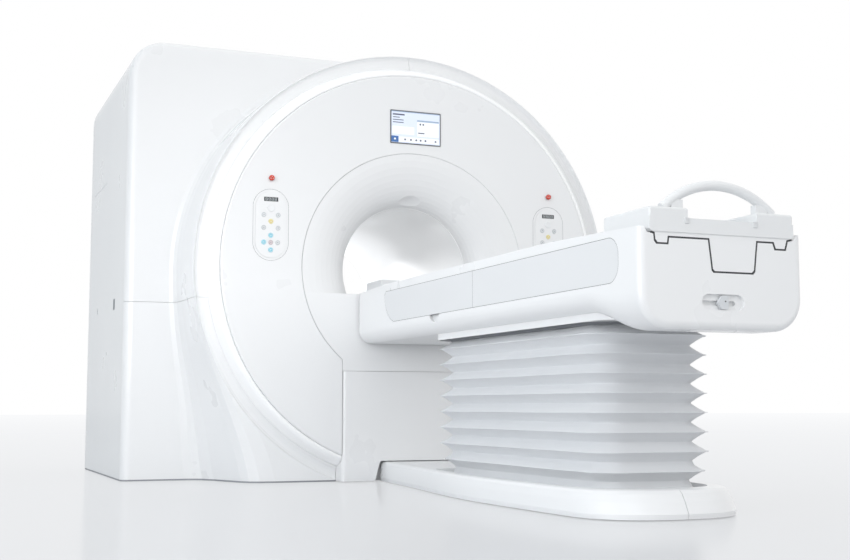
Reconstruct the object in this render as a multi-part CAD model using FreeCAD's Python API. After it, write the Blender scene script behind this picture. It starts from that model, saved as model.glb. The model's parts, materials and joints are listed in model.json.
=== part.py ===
"""Closed-bore body scanner: magnet housing, docked patient table and everything that moves on them.

Millimetres. X runs across the bore, Y into the bore, Z up. The origin lies on the floor
directly below the middle of the bore, so the bore axis is the line X = 0, Z = ISO_Z.
"""
import FreeCAD, Part
import math
import os

os.makedirs("parts", exist_ok=True)
V = FreeCAD.Vector

# ---------------------------------------------------------------- driving sizes
ISO_Z = 1095.0            # bore axis above the floor
BORE_R = 355.0            # inner radius of the patient bore
HALF_DEPTH = 970.0        # isocentre to the rear face
FACE_Y = -960.0           # front of the big disc
APRON_Y = -872.0          # front of the cover around the disc
PANEL_Y = -466.0          # flat front panel
LEFT_X = -1424.0          # square side of the housing
SHOULDER_R = 1234.0       # round right shoulder of the housing
TOP_Z = ISO_Z + SHOULDER_R
SHOULDER_X = 60.0         # centre of the rounded right shoulder
CORNER_R = 190.0          # rounded top left corner
EDGE_R = 42.0             # rounding of the front edge of the housing
COVER_FOOT = 8.0          # air under the covers
SKIN = 12.0               # wall of the moulded covers
SEAM = 1.6                # gap between two covers
RIM_SEAM = 0.5            # and round the bright rim
SPLIT_Z = ISO_Z - 169     # seam between upper and lower front cover
VENT_W = 360.0            # width of the vents in the rear cover
DISC_R = 1040.0           # outer radius of the disc
RIM_R = DISC_R + 52.0     # outer radius of the bright rim
RING_R = RIM_R + 82.0     # outer edge of the round apron
APRON_X = 12.0            # the apron's middle lies this far right of the bore
SWEEP_R = RIM_R + 101.0   # the apron's feet are measured in from here
LIP_R = 620.0             # mouth of the bore funnel
LINER_Y = 800.0           # half length of the bore liner
DOCK_X = 400.0            # half width of the docking panel below the bore
BELOW = -500.0            # cuts that leave the foot open start here
DOCK_Z = ISO_Z - 533      # seam across the docking panel

LEDGE_Z = ISO_Z - 136     # flat floor on which the couch rides into the bore
CHANNEL_X = 258.0         # half width of the groove in that floor
CHANNEL_Z = LEDGE_Z - 38  # bottom of the groove

BODY_X = 318.0            # half width of the table body
BODY_FAR = -976.0
BODY_NEAR = -3676.0
BODY_RIM = LEDGE_Z + 15
BODY_BOTTOM = BODY_RIM - 270
TAIL_BOTTOM = BODY_BOTTOM - 76  # deeper near end of the table body
TAIL_LENGTH = 118.0
SWOOP_LENGTH = 268.0      # from the tail up to the body's flat underside
BODY_R = 64.0             # lower corners of the table body
TAIL_R = 112.0            # and of its tail
SKIRT_Z = BODY_BOTTOM - 27  # lower edge of the skirt round the bellows
RUN_GAP = 6.0             # air between the couch and the table body
CARRIER_Z = CHANNEL_Z + 19  # floor of the tray, on the couch's carriage
WING_Z = LEDGE_Z + 3      # underside of the couch top at its edges
KEEL_Z = WING_Z - 19      # and at its middle
TRAY_Z = LEDGE_Z + 63     # top of the tray at the foot end
RAIL_LENGTH = 280.0       # tray at the foot end of the couch
LIFT = 420.0              # travel of the table
LATCH_Z = TAIL_BOTTOM + 91

BELLOWS_X = 246.0         # half width at the folds' crests
BELLOWS_FRONT = -3275.0
BELLOWS_REAR = -1807.0
BELLOWS_R = 105.0         # corners of its plan
BELLOWS_TOP = BODY_BOTTOM - 67  # crest of the highest fold
BELLOWS_PITCH = 69.3
BELLOWS_FOLDS = 8
FOLD_DEPTH = 42.0
BELLOWS_WALL = 3.0

BASE_TOP = 101.0
TUB_Z = 74.0              # floor of the tub in the base
BASE_FOOT = 3.0
COLUMN_Y = 0.5 * (BELLOWS_FRONT + BELLOWS_REAR)
COLUMN_FOOT = 12.0        # floor plate under the column
COLUMN_STEP = 5.0         # how much higher each stage stands than the one round it, lowered
COLUMN_TOP = BODY_BOTTOM + 86   # where the raised column carries the table
COLUMN_LENGTH = COLUMN_TOP - LIFT - COLUMN_FOOT - 2 * COLUMN_STEP
COLUMN_HALF = 150.0
COLUMN_WALL = 10.0
COLUMN_FIT = 2.0

PAD_X = LIP_R + 166       # centre of each keypad
PAD_Z = ISO_Z + 200
PAD_W = 160.0
PAD_H = 338.0
KEY_R = 12.5
DIAL_R = 19.0
KEY_FIT = 0.3
KEY_PROUD = 2.5
STOP_Z = PAD_Z + 238
STOP_R = 14.0
STOP_TRAVEL = 3.5
SCREEN_Z = ISO_Z + LIP_R + 141
SCREEN_W = 286.0
SCREEN_H = 178.0
SCREEN_FRAME = 4.0

# Keys of one keypad: name, offset outwards from its middle, offset up, radius
KEYS = [
    ("dial", 0.0, 85.0, DIAL_R),
    ("up_outer", 37.0, 50.0, KEY_R),
    ("up_inner", -37.0, 50.0, KEY_R),
    ("amber", 0.0, 17.0, KEY_R),
    ("mid_outer", 37.0, -16.0, KEY_R),
    ("mid_inner", -37.0, -16.0, KEY_R),
    ("blue_high", 0.0, -54.0, KEY_R),
    ("low_outer", 36.0, -90.0, KEY_R),
    ("low_centre", 0.0, -90.0, KEY_R),
    ("low_inner", -36.0, -90.0, KEY_R),
    ("blue_low", 0.0, -128.0, KEY_R),
]


# ---------------------------------------------------------------- helpers
def block(x0, x1, y0, y1, z0, z1):
    return Part.makeBox(x1 - x0, y1 - y0, z1 - z0, V(x0, y0, z0))


def rod_y(radius, y0, y1, x=0.0, z=ISO_Z):
    return Part.makeCylinder(radius, y1 - y0, V(x, y0, z), V(0, 1, 0))


def rod_z(radius, z0, z1, x, y):
    return Part.makeCylinder(radius, z1 - z0, V(x, y, z0), V(0, 0, 1))


def tube_y(outer, inner, y0, y1):
    return rod_y(outer, y0, y1).cut(rod_y(inner, y0 - 1, y1 + 1))


def prism_y(points, y0, y1):
    """Straight-edged (x, z) outline pushed from y0 to y1."""
    wire = Part.makePolygon([V(x, y0, z) for x, z in points + points[:1]])
    return Part.Face(wire).extrude(V(0, y1 - y0, 0))


def turned(points):
    """Closed (r, y) outline turned round the bore axis."""
    wire = Part.makePolygon([V(r, y, ISO_Z) for r, y in points + points[:1]])
    return Part.Face(wire).revolve(V(0, 0, ISO_Z), V(0, 1, 0), 360)


def turned_edges(edges):
    return Part.Face(Part.Wire(edges)).revolve(V(0, 0, ISO_Z), V(0, 1, 0), 360)


def line(a, b):
    return Part.makeLine(a, b)


def arc(a, b, c):
    return Part.Arc(a, b, c).toShape()


def spline(points, start=None, end=None):
    curve = Part.BSplineCurve()
    if start is None:
        curve.interpolate(points)
    else:
        curve.interpolate(points, InitialTangent=start, FinalTangent=end)
    return curve.toShape()


def fused(first, *others):
    return first.multiFuse(list(others)).removeSplitter()


def rounded(shape, radius, pick):
    edges = [edge for edge in shape.Edges if pick(edge)]
    return shape.makeFillet(radius, edges)


def stadium(x, z, width, height, y0, y1):
    r = width / 2
    mid = block(x - r, x + r, y0, y1, z - height / 2 + r, z + height / 2 - r)
    ends = [rod_y(r, y0, y1, x, z + side * (height / 2 - r)) for side in (-1, 1)]
    return fused(mid, *ends)


def save(name, shape):
    if len(shape.Solids) == 1:
        shape = shape.Solids[0]
    shape.exportStep("parts/" + name + ".step")


def mirrored(shape):
    return shape.mirror(V(0, 0, 0), V(1, 0, 0))


# ---------------------------------------------------------------- housing covers
def housing_outline(y, inset, foot):
    """Square left side with a rounded corner, round right shoulder."""
    left = LEFT_X + inset
    top = TOP_Z - inset
    r = CORNER_R - inset
    big = SHOULDER_R - inset
    right = SHOULDER_X + big
    h = math.sqrt(0.5)
    return Part.Wire([
        line(V(left, y, foot), V(left, y, top - r)),
        arc(V(left, y, top - r), V(left + r * (1 - h), y, top - r * (1 - h)), V(left + r, y, top)),
        line(V(left + r, y, top), V(SHOULDER_X, y, top)),
        arc(V(SHOULDER_X, y, top), V(SHOULDER_X + big * h, y, ISO_Z + big * h), V(right, y, ISO_Z)),
        line(V(right, y, ISO_Z), V(right, y, foot)),
        line(V(right, y, foot), V(left, y, foot)),
    ])


def housing(y0, y1, inset=0.0, foot=COVER_FOOT):
    return Part.Face(housing_outline(y0, inset, foot)).extrude(V(0, y1 - y0, 0))


def soft_front(shape, y, radius):
    """Rounds the front edge of the housing, apart from its foot."""
    def on_edge(edge):
        box = edge.BoundBox
        return box.YLength < 0.1 and abs(box.YMin - y) < 0.1 and box.ZMax > COVER_FOOT + 1
    return rounded(shape, radius, on_edge)


def apron_outline(y, radius, foot_x, foot):
    """Round above the bore axis, drawn in towards the floor below it."""
    crown = arc(V(APRON_X - radius, y, ISO_Z), V(APRON_X, y, ISO_Z + radius),
                V(APRON_X + radius, y, ISO_Z))
    edges = [crown, line(V(foot_x, y, foot), V(-foot_x, y, foot))]
    for side in (-1, 1):
        top = radius + side * APRON_X
        hip = 0.70 * top + 0.30 * foot_x
        knee = 0.36 * top + 0.64 * foot_x
        points = [V(side * x, y, z) for x, z in ((top, ISO_Z), (hip, 640.0), (knee, 370.0), (foot_x, foot))]
        edges.append(spline(points, V(0, 0, -1), V(-0.22 * side, 0, -1)))
    return Part.Wire(Part.__sortEdges__(edges))


# (y, radius above the axis, how much narrower than the sweep at the floor) from the panel to the front
APRON = [
    (PANEL_Y + 40, RING_R + 39, 90.0),
    (PANEL_Y, RING_R + 38, 95.0),
    (PANEL_Y - 9, RING_R + 19, 140.0),
    (PANEL_Y - 34, RING_R + 6, 180.0),
    (PANEL_Y - 110, RING_R + 1, 225.0),
    (PANEL_Y - 230, RING_R, 272.0),
    (PANEL_Y - 325, RING_R, 313.0),
    (PANEL_Y - 370, RING_R - 0.5, 345.0),
    (PANEL_Y - 395, RING_R - 1.5, 395.0),
    (APRON_Y, RING_R - 6.0, 470.0),
]


def apron(inset, foot):
    """Solid apron; inset gives the hollow inside it, a skin behind the front."""
    rows = [(y, r - inset, SWEEP_R - narrow - inset) for y, r, narrow in APRON]
    if inset > 0:
        rows = rows[:-2] + [(APRON_Y + 2 * inset, RING_R - 5.0 - inset, SWEEP_R - 405.0 - inset)]
        rows[0] = (PANEL_Y + 60, rows[0][1], rows[0][2])
    return Part.makeLoft([apron_outline(y, r, w, foot) for y, r, w in rows], True, True)


def front_shell():
    """The whole front cover before it is cut along its seams."""
    back = PANEL_Y + 60.0
    outer = soft_front(housing(PANEL_Y, back), PANEL_Y, EDGE_R)
    inner = soft_front(housing(PANEL_Y + SKIN, back + 20, SKIN, COVER_FOOT - 40), PANEL_Y + SKIN,
                       EDGE_R - SKIN)
    shell = outer.fuse(apron(0.0, COVER_FOOT)).cut(inner).cut(apron(SKIN, COVER_FOOT - 40))
    crease = RING_R - 7
    valley = [(0, -1), (3, 6), (9, 12), (20, 15), (36, 13), (52, 7), (66, -2)]
    cove = turned([(crease - step, APRON_Y + depth) for step, depth in valley]
                  + [(RIM_R - 14, APRON_Y - 14), (RIM_R - 14, APRON_Y - 25), (crease, APRON_Y - 25)])
    cove.translate(V(APRON_X, 0, 0))
    mouth = rod_y(RIM_R + RIM_SEAM, APRON_Y - 50, APRON_Y + 60)
    dock = block(-DOCK_X - SEAM, DOCK_X + SEAM, APRON_Y - 50, back + 50, BELOW, ISO_Z)
    groove = block(-SEAM / 2, SEAM / 2, APRON_Y - 30, APRON_Y + 19, ISO_Z, ISO_Z + RING_R + 5)
    return shell.cut(cove).cut(mouth).cut(dock).cut(groove)


def front_covers():
    shell = front_shell()
    far = 3000.0
    upper = shell.common(block(-far, far, -far, far, SPLIT_Z + SEAM / 2, far))
    lower = shell.common(block(-far, far, -far, far, -far, SPLIT_Z - SEAM / 2))
    left = lower.common(block(-far, 0, -far, far, -far, far))
    right = lower.common(block(0, far, -far, far, -far, far))
    return upper, left, right


def ring_rim():
    """Bright rim round the disc, open at the docking panel and split at the top."""
    crest = FACE_Y + 6.0
    rim = turned([(RIM_R, APRON_Y + 12), (RIM_R, APRON_Y - 8), (RIM_R - 6, APRON_Y - 22),
                  (RIM_R - 14, APRON_Y - 44), (RIM_R - 23, APRON_Y - 64), (RIM_R - 33, APRON_Y - 76),
                  (DISC_R + 10, crest), (DISC_R + 4, crest + 2), (DISC_R + SEAM, crest + 6),
                  (DISC_R + SEAM, APRON_Y + 12)])
    dock = block(-DOCK_X - SEAM, DOCK_X + SEAM, FACE_Y - 50, APRON_Y + 50, BELOW, ISO_Z)
    top = block(-SEAM / 2, SEAM / 2, FACE_Y - 50, APRON_Y + 6, ISO_Z, TOP_Z)
    return rim.cut(dock).cut(top)


def front_disc():
    disc = turned([(LIP_R + 1, FACE_Y + SKIN), (LIP_R + 1, FACE_Y + 3), (LIP_R + 4, FACE_Y),
                   (DISC_R - 8, FACE_Y), (DISC_R - 2, FACE_Y + 3), (DISC_R, FACE_Y + 8),
                   (DISC_R, FACE_Y + SKIN)])
    disc = disc.cut(block(-DOCK_X - SEAM, DOCK_X + SEAM, FACE_Y - 5, FACE_Y + 40, BELOW, ISO_Z))
    disc = disc.cut(block(-SCREEN_W / 2 - 1, SCREEN_W / 2 + 1, FACE_Y - 5, FACE_Y + 40,
                          SCREEN_Z - SCREEN_H / 2 - 1, SCREEN_Z + SCREEN_H / 2 + 1))
    for side in (-1, 1):
        disc = disc.cut(stadium(side * PAD_X, PAD_Z, PAD_W + 1.2, PAD_H + 1.2, FACE_Y - 5, FACE_Y + 40))
        disc = disc.cut(rod_y(STOP_R * 0.6 + KEY_FIT, FACE_Y - 5, FACE_Y + 40, side * PAD_X, STOP_Z))
    return disc


def side_covers():
    """Side walls with the roof; the seam between them runs along the roof."""
    y0 = PANEL_Y + 60.0 + SEAM
    y1 = HALF_DEPTH - 24.0
    shell = housing(y0, y1).cut(housing(y0 - 1, y1 + 1, SKIN, COVER_FOOT - 40))
    seam_x = -420.0
    far = 3000.0
    left = shell.common(block(-far, seam_x - SEAM / 2, -far, far, -far, far))
    right = shell.common(block(seam_x + SEAM / 2, far, -far, far, -far, far))
    pull = block(LEFT_X - 1, LEFT_X + 5, -112, -52, 908, 968)
    lock = Part.makeCylinder(20, 6, V(LEFT_X - 1, 565, 941), V(1, 0, 0))
    groove = block(LEFT_X - 1, LEFT_X + 1.5, 302, 813, 1668.5, 1671.5)
    return left.cut(pull).cut(lock).cut(groove), right


def rear_cover():
    plate = housing(HALF_DEPTH - 21.0, HALF_DEPTH)
    edge = soft_rear(plate, 14.0)
    hollow = housing(HALF_DEPTH - 30.0, HALF_DEPTH - SKIN, SKIN, COVER_FOOT + SKIN)
    cover = edge.cut(hollow).cut(rod_y(523.0, HALF_DEPTH - 60, HALF_DEPTH + 20))
    right = SHOULDER_X + SHOULDER_R - 217.0
    for row in range(6):
        z = 330.0 + 34.0 * row
        for x in (right - VENT_W, LEFT_X + 364.0):
            cover = cover.cut(block(x, x + VENT_W, HALF_DEPTH - 40, HALF_DEPTH + 20, z, z + 12))
    return cover


def soft_rear(shape, radius):
    def on_edge(edge):
        box = edge.BoundBox
        return box.YLength < 0.1 and abs(box.YMin - HALF_DEPTH) < 0.1 and box.ZMax > COVER_FOOT + 1
    return rounded(shape, radius, on_edge)


# ---------------------------------------------------------------- bore
def flare(depth, reach, y_throat, sign, wall=0.0):
    """Quarter ellipse from the throat of the bore out to a mouth, as (r, y) points."""
    points = []
    for step in range(0, 13):
        a = math.radians(7.5 * step)
        r = BORE_R + reach * (1 - math.cos(a)) + wall * math.cos(a)
        y = y_throat + sign * (depth * math.sin(a) - wall * math.sin(a))
        points.append((r, y))
    return points


def ride_section(y0, y1):
    """Floor on which the couch rides: two ledges and the groove between them."""
    t = 12.0
    half = LIP_R + 20.0
    return prism_y([
        (-half, LEDGE_Z), (-CHANNEL_X, LEDGE_Z), (-CHANNEL_X, CHANNEL_Z), (CHANNEL_X, CHANNEL_Z),
        (CHANNEL_X, LEDGE_Z), (half, LEDGE_Z), (half, LEDGE_Z - t), (CHANNEL_X + t, LEDGE_Z - t),
        (CHANNEL_X + t, CHANNEL_Z - t), (-CHANNEL_X - t, CHANNEL_Z - t), (-CHANNEL_X - t, LEDGE_Z - t),
        (-half, LEDGE_Z - t)], y0, y1)


def bore_funnel():
    """Trumpet-shaped mouth with the flat ledge and the upper half of the docking panel."""
    depth = -LINER_Y - FACE_Y
    reach = LIP_R - 1.0 - BORE_R
    inner = flare(depth, reach, -LINER_Y, -1)
    outer = flare(depth, reach, -LINER_Y, -1, SKIN)
    horn = turned(inner + outer[::-1])
    horn = horn.cut(block(-LIP_R, LIP_R, FACE_Y - 20, -LINER_Y + 20, 0, LEDGE_Z - SKIN))
    hollow = turned(inner + [(0, FACE_Y), (0, -LINER_Y)])
    floor = hollow.common(ride_section(FACE_Y, -LINER_Y))
    face = rod_y(LIP_R - 1.0, FACE_Y, FACE_Y + SKIN).common(
        block(-LIP_R, LIP_R, FACE_Y - 5, FACE_Y + 40, 0, LEDGE_Z))
    panel = block(-DOCK_X, DOCK_X, FACE_Y, FACE_Y + SKIN, DOCK_Z + SEAM, 760)
    trim = block(-LIP_R, LIP_R, FACE_Y - 5, FACE_Y + 40, 0, DOCK_Z + SEAM)
    notch = block(-CHANNEL_X, CHANNEL_X, FACE_Y - 5, FACE_Y + 40, CHANNEL_Z, LEDGE_Z + 50)
    funnel = fused(face.cut(trim), panel).cut(notch).fuse(horn).fuse(floor)
    return light_recess(funnel, hollow).removeSplitter()


def light_recess(funnel, hollow):
    """Dimple at the top of the mouth, out of which the positioning light shines down."""
    middle = V(0, -LINER_Y - 139, ISO_Z + BORE_R - 69)
    dimple = Part.makeSphere(129, middle)
    boss = Part.makeSphere(136, middle).cut(hollow)
    room = block(-95, 95, FACE_Y + SKIN, -LINER_Y, ISO_Z + BORE_R - 20, ISO_Z + BORE_R + 90)
    return funnel.fuse(boss.common(room)).cut(dimple)


def docking_panel():
    """Lower half of the docking panel, with the opening that the table base runs into."""
    back = APRON_Y + 60.0
    shell = block(-DOCK_X, DOCK_X, FACE_Y, back, COVER_FOOT - 4, DOCK_Z)
    shell = rounded(shell, 22.0, lambda e: e.BoundBox.ZLength > 300 and e.BoundBox.YMax < FACE_Y + 1)
    shell = shell.cut(block(-DOCK_X + SKIN, DOCK_X - SKIN, FACE_Y + SKIN, back + 5, -5, DOCK_Z - SKIN))
    lining = block(-240, 240, FACE_Y + SKIN, FACE_Y + 60, COVER_FOOT - 4, BASE_TOP + 12)
    opening = prism_y([(-222, 0), (-197, BASE_TOP - 6), (-188, BASE_TOP + 4), (188, BASE_TOP + 4),
                       (197, BASE_TOP - 6), (222, 0)], FACE_Y - 10, FACE_Y + 52)
    return fused(shell, lining).cut(opening)


def rear_funnel():
    y_out = HALF_DEPTH + 2.0
    inner = flare(y_out - LINER_Y, 165.0, LINER_Y, 1)
    outer = flare(y_out - LINER_Y, 165.0, LINER_Y, 1, SKIN)
    horn = turned(inner + outer[::-1])
    hollow = turned(inner + [(0, y_out), (0, LINER_Y)])
    floor = hollow.common(ride_section(LINER_Y, HALF_DEPTH - 30))
    return horn.fuse(floor).removeSplitter()


def couch_bridge():
    return ride_section(-LINER_Y + 2, LINER_Y - 2).common(rod_y(BORE_R - 0.3, -LINER_Y, LINER_Y))


# ---------------------------------------------------------------- magnet
VESSEL_R = SHOULDER_R - 277
VESSEL_BORE = 470.0
TURRET_X = -300.0
TURRET_Y = 300.0
TURRET_Z = TOP_Z - 242


def magnet_vessel():
    y0 = -560.0
    y1 = 740.0
    vessel = turned([(VESSEL_BORE, y0), (VESSEL_R - 30, y0), (VESSEL_R, y0 + 30), (VESSEL_R, y1 - 30),
                     (VESSEL_R - 30, y1), (VESSEL_BORE, y1)])
    feet = []
    for x in (-640, 640):
        for y in (-420, 600):
            feet.append(block(x - 120, x + 120, y - 110, y + 110, 30, 520))
            feet.append(block(x - 160, x + 160, y - 150, y + 150, 0, 30))
    feet.append(block(-800, 800, -60, 60, 0, 30))
    feet += [block(x - 60, x + 60, -570, 750, 0, 30) for x in (-640, 640)]
    turret = rod_z(160, ISO_Z + 0.8 * VESSEL_R, TURRET_Z, TURRET_X, TURRET_Y)
    return fused(vessel, turret, *feet).cut(rod_y(VESSEL_BORE, y0 - 5, y1 + 5))


def cold_head():
    """Refrigerator head bolted on the service turret."""
    flange = rod_z(140, TURRET_Z, TURRET_Z + 22, TURRET_X, TURRET_Y)
    neck = rod_z(70, TURRET_Z + 22, TURRET_Z + 110, TURRET_X, TURRET_Y)
    head = rod_z(95, TURRET_Z + 110, TURRET_Z + 205, TURRET_X, TURRET_Y)
    return fused(flange, neck, head)


# ---------------------------------------------------------------- controls
def screen_block(inset, y0, y1):
    return block(inset - SCREEN_W / 2, SCREEN_W / 2 - inset, y0, y1, SCREEN_Z - SCREEN_H / 2 + inset,
                 SCREEN_Z + SCREEN_H / 2 - inset)


def screen_bezel():
    tray = rounded(screen_block(0.0, FACE_Y - 4, FACE_Y + 30), 6.0, lambda e: e.BoundBox.YLength > 30)
    flange = screen_block(-12.0, DISC_BACK, DISC_BACK + 4)
    return tray.fuse(flange).cut(screen_block(SCREEN_FRAME, FACE_Y - 5, FACE_Y + 20))


def screen_glass():
    return screen_block(SCREEN_FRAME + 0.5, FACE_Y - 2, FACE_Y + 6)


PLATE_Y = FACE_Y - 2.0
PLATE_T = 12.0
DISC_BACK = FACE_Y + SKIN


def keypad_plate(side):
    """Moulded plate that fills its hole in the disc, with a flange behind the disc."""
    plate = stadium(side * PAD_X, PAD_Z, PAD_W, PAD_H, PLATE_Y, DISC_BACK + 4)
    plate = plate.fuse(stadium(side * PAD_X, PAD_Z, PAD_W + 24, PAD_H + 24, DISC_BACK, DISC_BACK + 4))
    for _, dx, dz, r in KEYS:
        x = side * (PAD_X + dx)
        plate = plate.cut(rod_y(r + KEY_FIT, PLATE_Y - 5, PLATE_Y + 40, x, PAD_Z + dz))
        plate = plate.cut(rod_y(r + 3, PLATE_Y + PLATE_T, PLATE_Y + 40, x, PAD_Z + dz))
    window = block(-37, 37, PLATE_Y - 5, PLATE_Y + 2, PAD_Z + 119, PAD_Z + 141)
    window.translate(V(side * PAD_X, 0, 0))
    return plate.cut(window)


def key(side, dx, dz, radius):
    x = side * (PAD_X + dx)
    cap = rod_y(radius, PLATE_Y - KEY_PROUD, PLATE_Y + PLATE_T + 0.6, x, PAD_Z + dz)
    cap = cap.makeChamfer(1.0, [edge for edge in cap.Edges if edge.BoundBox.YMax < PLATE_Y - KEY_PROUD + 0.1])
    collar = rod_y(radius + 2.0, PLATE_Y + PLATE_T + 0.6, PLATE_Y + PLATE_T + 2.6, x, PAD_Z + dz)
    return fused(cap, collar)


def emergency_stop(side):
    x = side * PAD_X
    back = FACE_Y - STOP_TRAVEL - 1.0
    head = rod_y(STOP_R, back - 13, back, x, STOP_Z)
    head = rounded(head, 4.0, lambda e: e.BoundBox.YMax < back - 12.9)
    stem = rod_y(STOP_R * 0.6, back, FACE_Y + 26, x, STOP_Z)
    return fused(head, stem)


# ---------------------------------------------------------------- table body
def running_profile(gap):
    """Outline of the groove in which the couch runs; the couch has the same outline, shrunk by gap."""
    g = gap
    w = BODY_X - 18
    top = BODY_RIM + 26
    lip = BODY_RIM - 17
    step = BODY_RIM - 37 + g
    shelf = BODY_RIM - 53 + g
    foot = BODY_RIM - 75 + g
    tab = BODY_RIM - 160 + g
    return [
        (-w + g, top), (-w + g, lip), (-w + 11 + g, step), (-w + 35 + g, step - 6), (-w + 37 + g, foot + 10),
        (-w + 45 + g, foot), (-208 - g, foot), (-205 - g, shelf), (-58 + g, shelf), (-50 + g, tab + 42),
        (-46 + g, tab + 7), (-39 + g, tab), (118 - g, tab), (126 - g, tab + 8), (138 - g, shelf),
        (197 + g, shelf), (205 + g, foot), (w - 48 - g, foot), (w - 39 - g, step - 8), (w - 18 - g, step - 3),
        (w - g, lip - 4), (w - g, top)]


def body_outline(y, bottom, r):
    """Section of the table body with rounded lower corners."""
    x = BODY_X
    top = BODY_RIM + 5
    h = r * (1 - math.sqrt(0.5))
    return Part.Wire([
        line(V(-x, y, top), V(-x, y, bottom + r)),
        arc(V(-x, y, bottom + r), V(h - x, y, bottom + h), V(r - x, y, bottom)),
        line(V(r - x, y, bottom), V(x - r, y, bottom)),
        arc(V(x - r, y, bottom), V(x - h, y, bottom + h), V(x, y, bottom + r)),
        line(V(x, y, bottom + r), V(x, y, top)),
        line(V(x, y, top), V(-x, y, top)),
    ])


def body_solid():
    """Deep tail at the near end, swept up into the long flat body."""
    tail_end = BODY_NEAR + TAIL_LENGTH
    rows = []
    for step in range(0, 9):
        t = step / 8
        rise = t * t * (3 - 2 * t)
        rows.append(body_outline(tail_end + SWOOP_LENGTH * t, TAIL_BOTTOM + (BODY_BOTTOM - TAIL_BOTTOM) * rise,
                                 TAIL_R + (BODY_R - TAIL_R) * rise))
    tail = Part.Face(rows[0]).extrude(V(0, -TAIL_LENGTH, 0))
    swoop = Part.makeLoft(rows, True, False)
    long = Part.Face(rows[-1]).extrude(V(0, BODY_FAR - tail_end - SWOOP_LENGTH, 0))
    rim = [(BODY_NEAR, BODY_RIM - 19), (BODY_NEAR + 626, BODY_RIM), (BODY_FAR - 374, BODY_RIM),
           (BODY_FAR, BODY_RIM - 14), (BODY_FAR, BODY_RIM + 40), (BODY_NEAR, BODY_RIM + 40)]
    above = Part.Face(Part.makePolygon([V(-400, y, z) for y, z in rim + rim[:1]])).extrude(V(800, 0, 0))
    solid = tail.fuse([swoop, long]).cut(above)
    for y, radius in ((BODY_NEAR, 26.0), (BODY_FAR, 6.0)):
        solid = rounded(solid, radius, lambda e: e.BoundBox.YLength < 0.1 and abs(e.BoundBox.YMin - y) < 0.1
                        and e.BoundBox.ZMin < BODY_RIM - 40)
    return solid


def skirt():
    """Low wall under the body, round the head of the bellows."""
    outer = ringed(BELLOWS_X + 16, BELLOWS_FRONT - 125, BELLOWS_REAR + 16, BELLOWS_R + 16, SKIRT_Z, BODY_BOTTOM + 6)
    inner = ringed(BELLOWS_X + 8, BELLOWS_FRONT - 8, BELLOWS_REAR + 8, BELLOWS_R + 8, SKIRT_Z - 1, BODY_BOTTOM)
    return outer, inner


def table_cover():
    """The long moulding, with its cavity, the couch's groove and the recesses in its skin."""
    t = SKIN
    roof = BODY_BOTTOM + 98
    wall, room = skirt()
    cavity = block(-BODY_X + 4 * t, BODY_X - 4 * t, BODY_NEAR + 4 * t, BODY_FAR - 9 * t, BODY_BOTTOM + t, roof)
    tail = block(TAIL_R - BODY_X, BODY_X - TAIL_R, BODY_NEAR + 4 * t, BODY_NEAR + 190, TAIL_BOTTOM + t,
                 roof - 42)
    groove = prism_y(running_profile(0.0), BODY_NEAR - 50, BODY_FAR + 50)
    opening = Part.Face(bellows_section(BODY_BOTTOM - 1, FOLD_DEPTH - 3)).extrude(V(0, 0, roof - 42 - BODY_BOTTOM))
    cover = body_solid().fuse(wall).cut(room).cut(fused(cavity, tail)).cut(groove).cut(opening)
    for side in (-1, 1):
        cover = cover.cut(side_panel_shape(side, 0.0))
        finger = Part.makeCylinder(66, 20, V(side * (BODY_X + 5), -1980, BODY_BOTTOM + 113), V(-side, 0, 0))
        cover = cover.cut(finger)
    latch_seat = slot_x(-3.5, LATCH_Z, 164, 51, BODY_NEAR - 5, BODY_NEAR + 12)
    latch_slot = slot_x(-13.5, LATCH_Z - 3, 129, 16, BODY_NEAR - 5, BODY_NEAR + 22)
    return cover.cut(latch_seat).cut(latch_slot)


def slot_x(x, z, length, width, y0, y1):
    """Round-ended slot lying across the table."""
    r = width / 2
    mid = block(x - length / 2 + r, x + length / 2 - r, y0, y1, z - r, z + r)
    ends = [rod_y(r, y0, y1, x + side * (length / 2 - r), z) for side in (-1, 1)]
    return fused(mid, *ends)


def side_panel_shape(side, gap):
    """Inset trim panel: raked far end, rounded near end."""
    g = gap
    near = BODY_NEAR + 129 + g
    z0 = BODY_BOTTOM + 81 + g
    z1 = BODY_RIM - 36 - g
    r = 62.0 - g
    h = r * (1 - math.sqrt(0.5))
    far_top = BODY_FAR - 371 - g
    outline = Part.Wire([
        line(V(0, far_top - 24, z1), V(0, near + r, z1)),
        arc(V(0, near + r, z1), V(0, near + h, z1 - h), V(0, near, z1 - r)),
        line(V(0, near, z1 - r), V(0, near, z0 + r)),
        arc(V(0, near, z0 + r), V(0, near + h, z0 + h), V(0, near + r, z0)),
        line(V(0, near + r, z0), V(0, far_top - 128, z0)),
        arc(V(0, far_top - 128, z0), V(0, far_top - 28, z0 + 62), V(0, far_top, z1 - 16)),
        line(V(0, far_top, z1 - 16), V(0, far_top - 24, z1)),
    ])
    depth = 5.0 - g
    past = 2.0 if g == 0 else 0.0
    solid = Part.Face(outline).extrude(V(depth + past, 0, 0))
    solid.translate(V(BODY_X - 5.0 + g, 0, 0))
    return solid if side > 0 else mirrored(solid)


def side_panel(side):
    """The panel proper stands 1 mm back from the body, so its edge reads as a seam."""
    panel = side_panel_shape(side, 1.5)
    seam = block(-1, 1, -1, 1, BODY_BOTTOM + 76, BODY_RIM - 24)
    seam.translate(V(side * (BODY_X - 0.5), -2390, 0))
    return panel.cut(seam)


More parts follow.
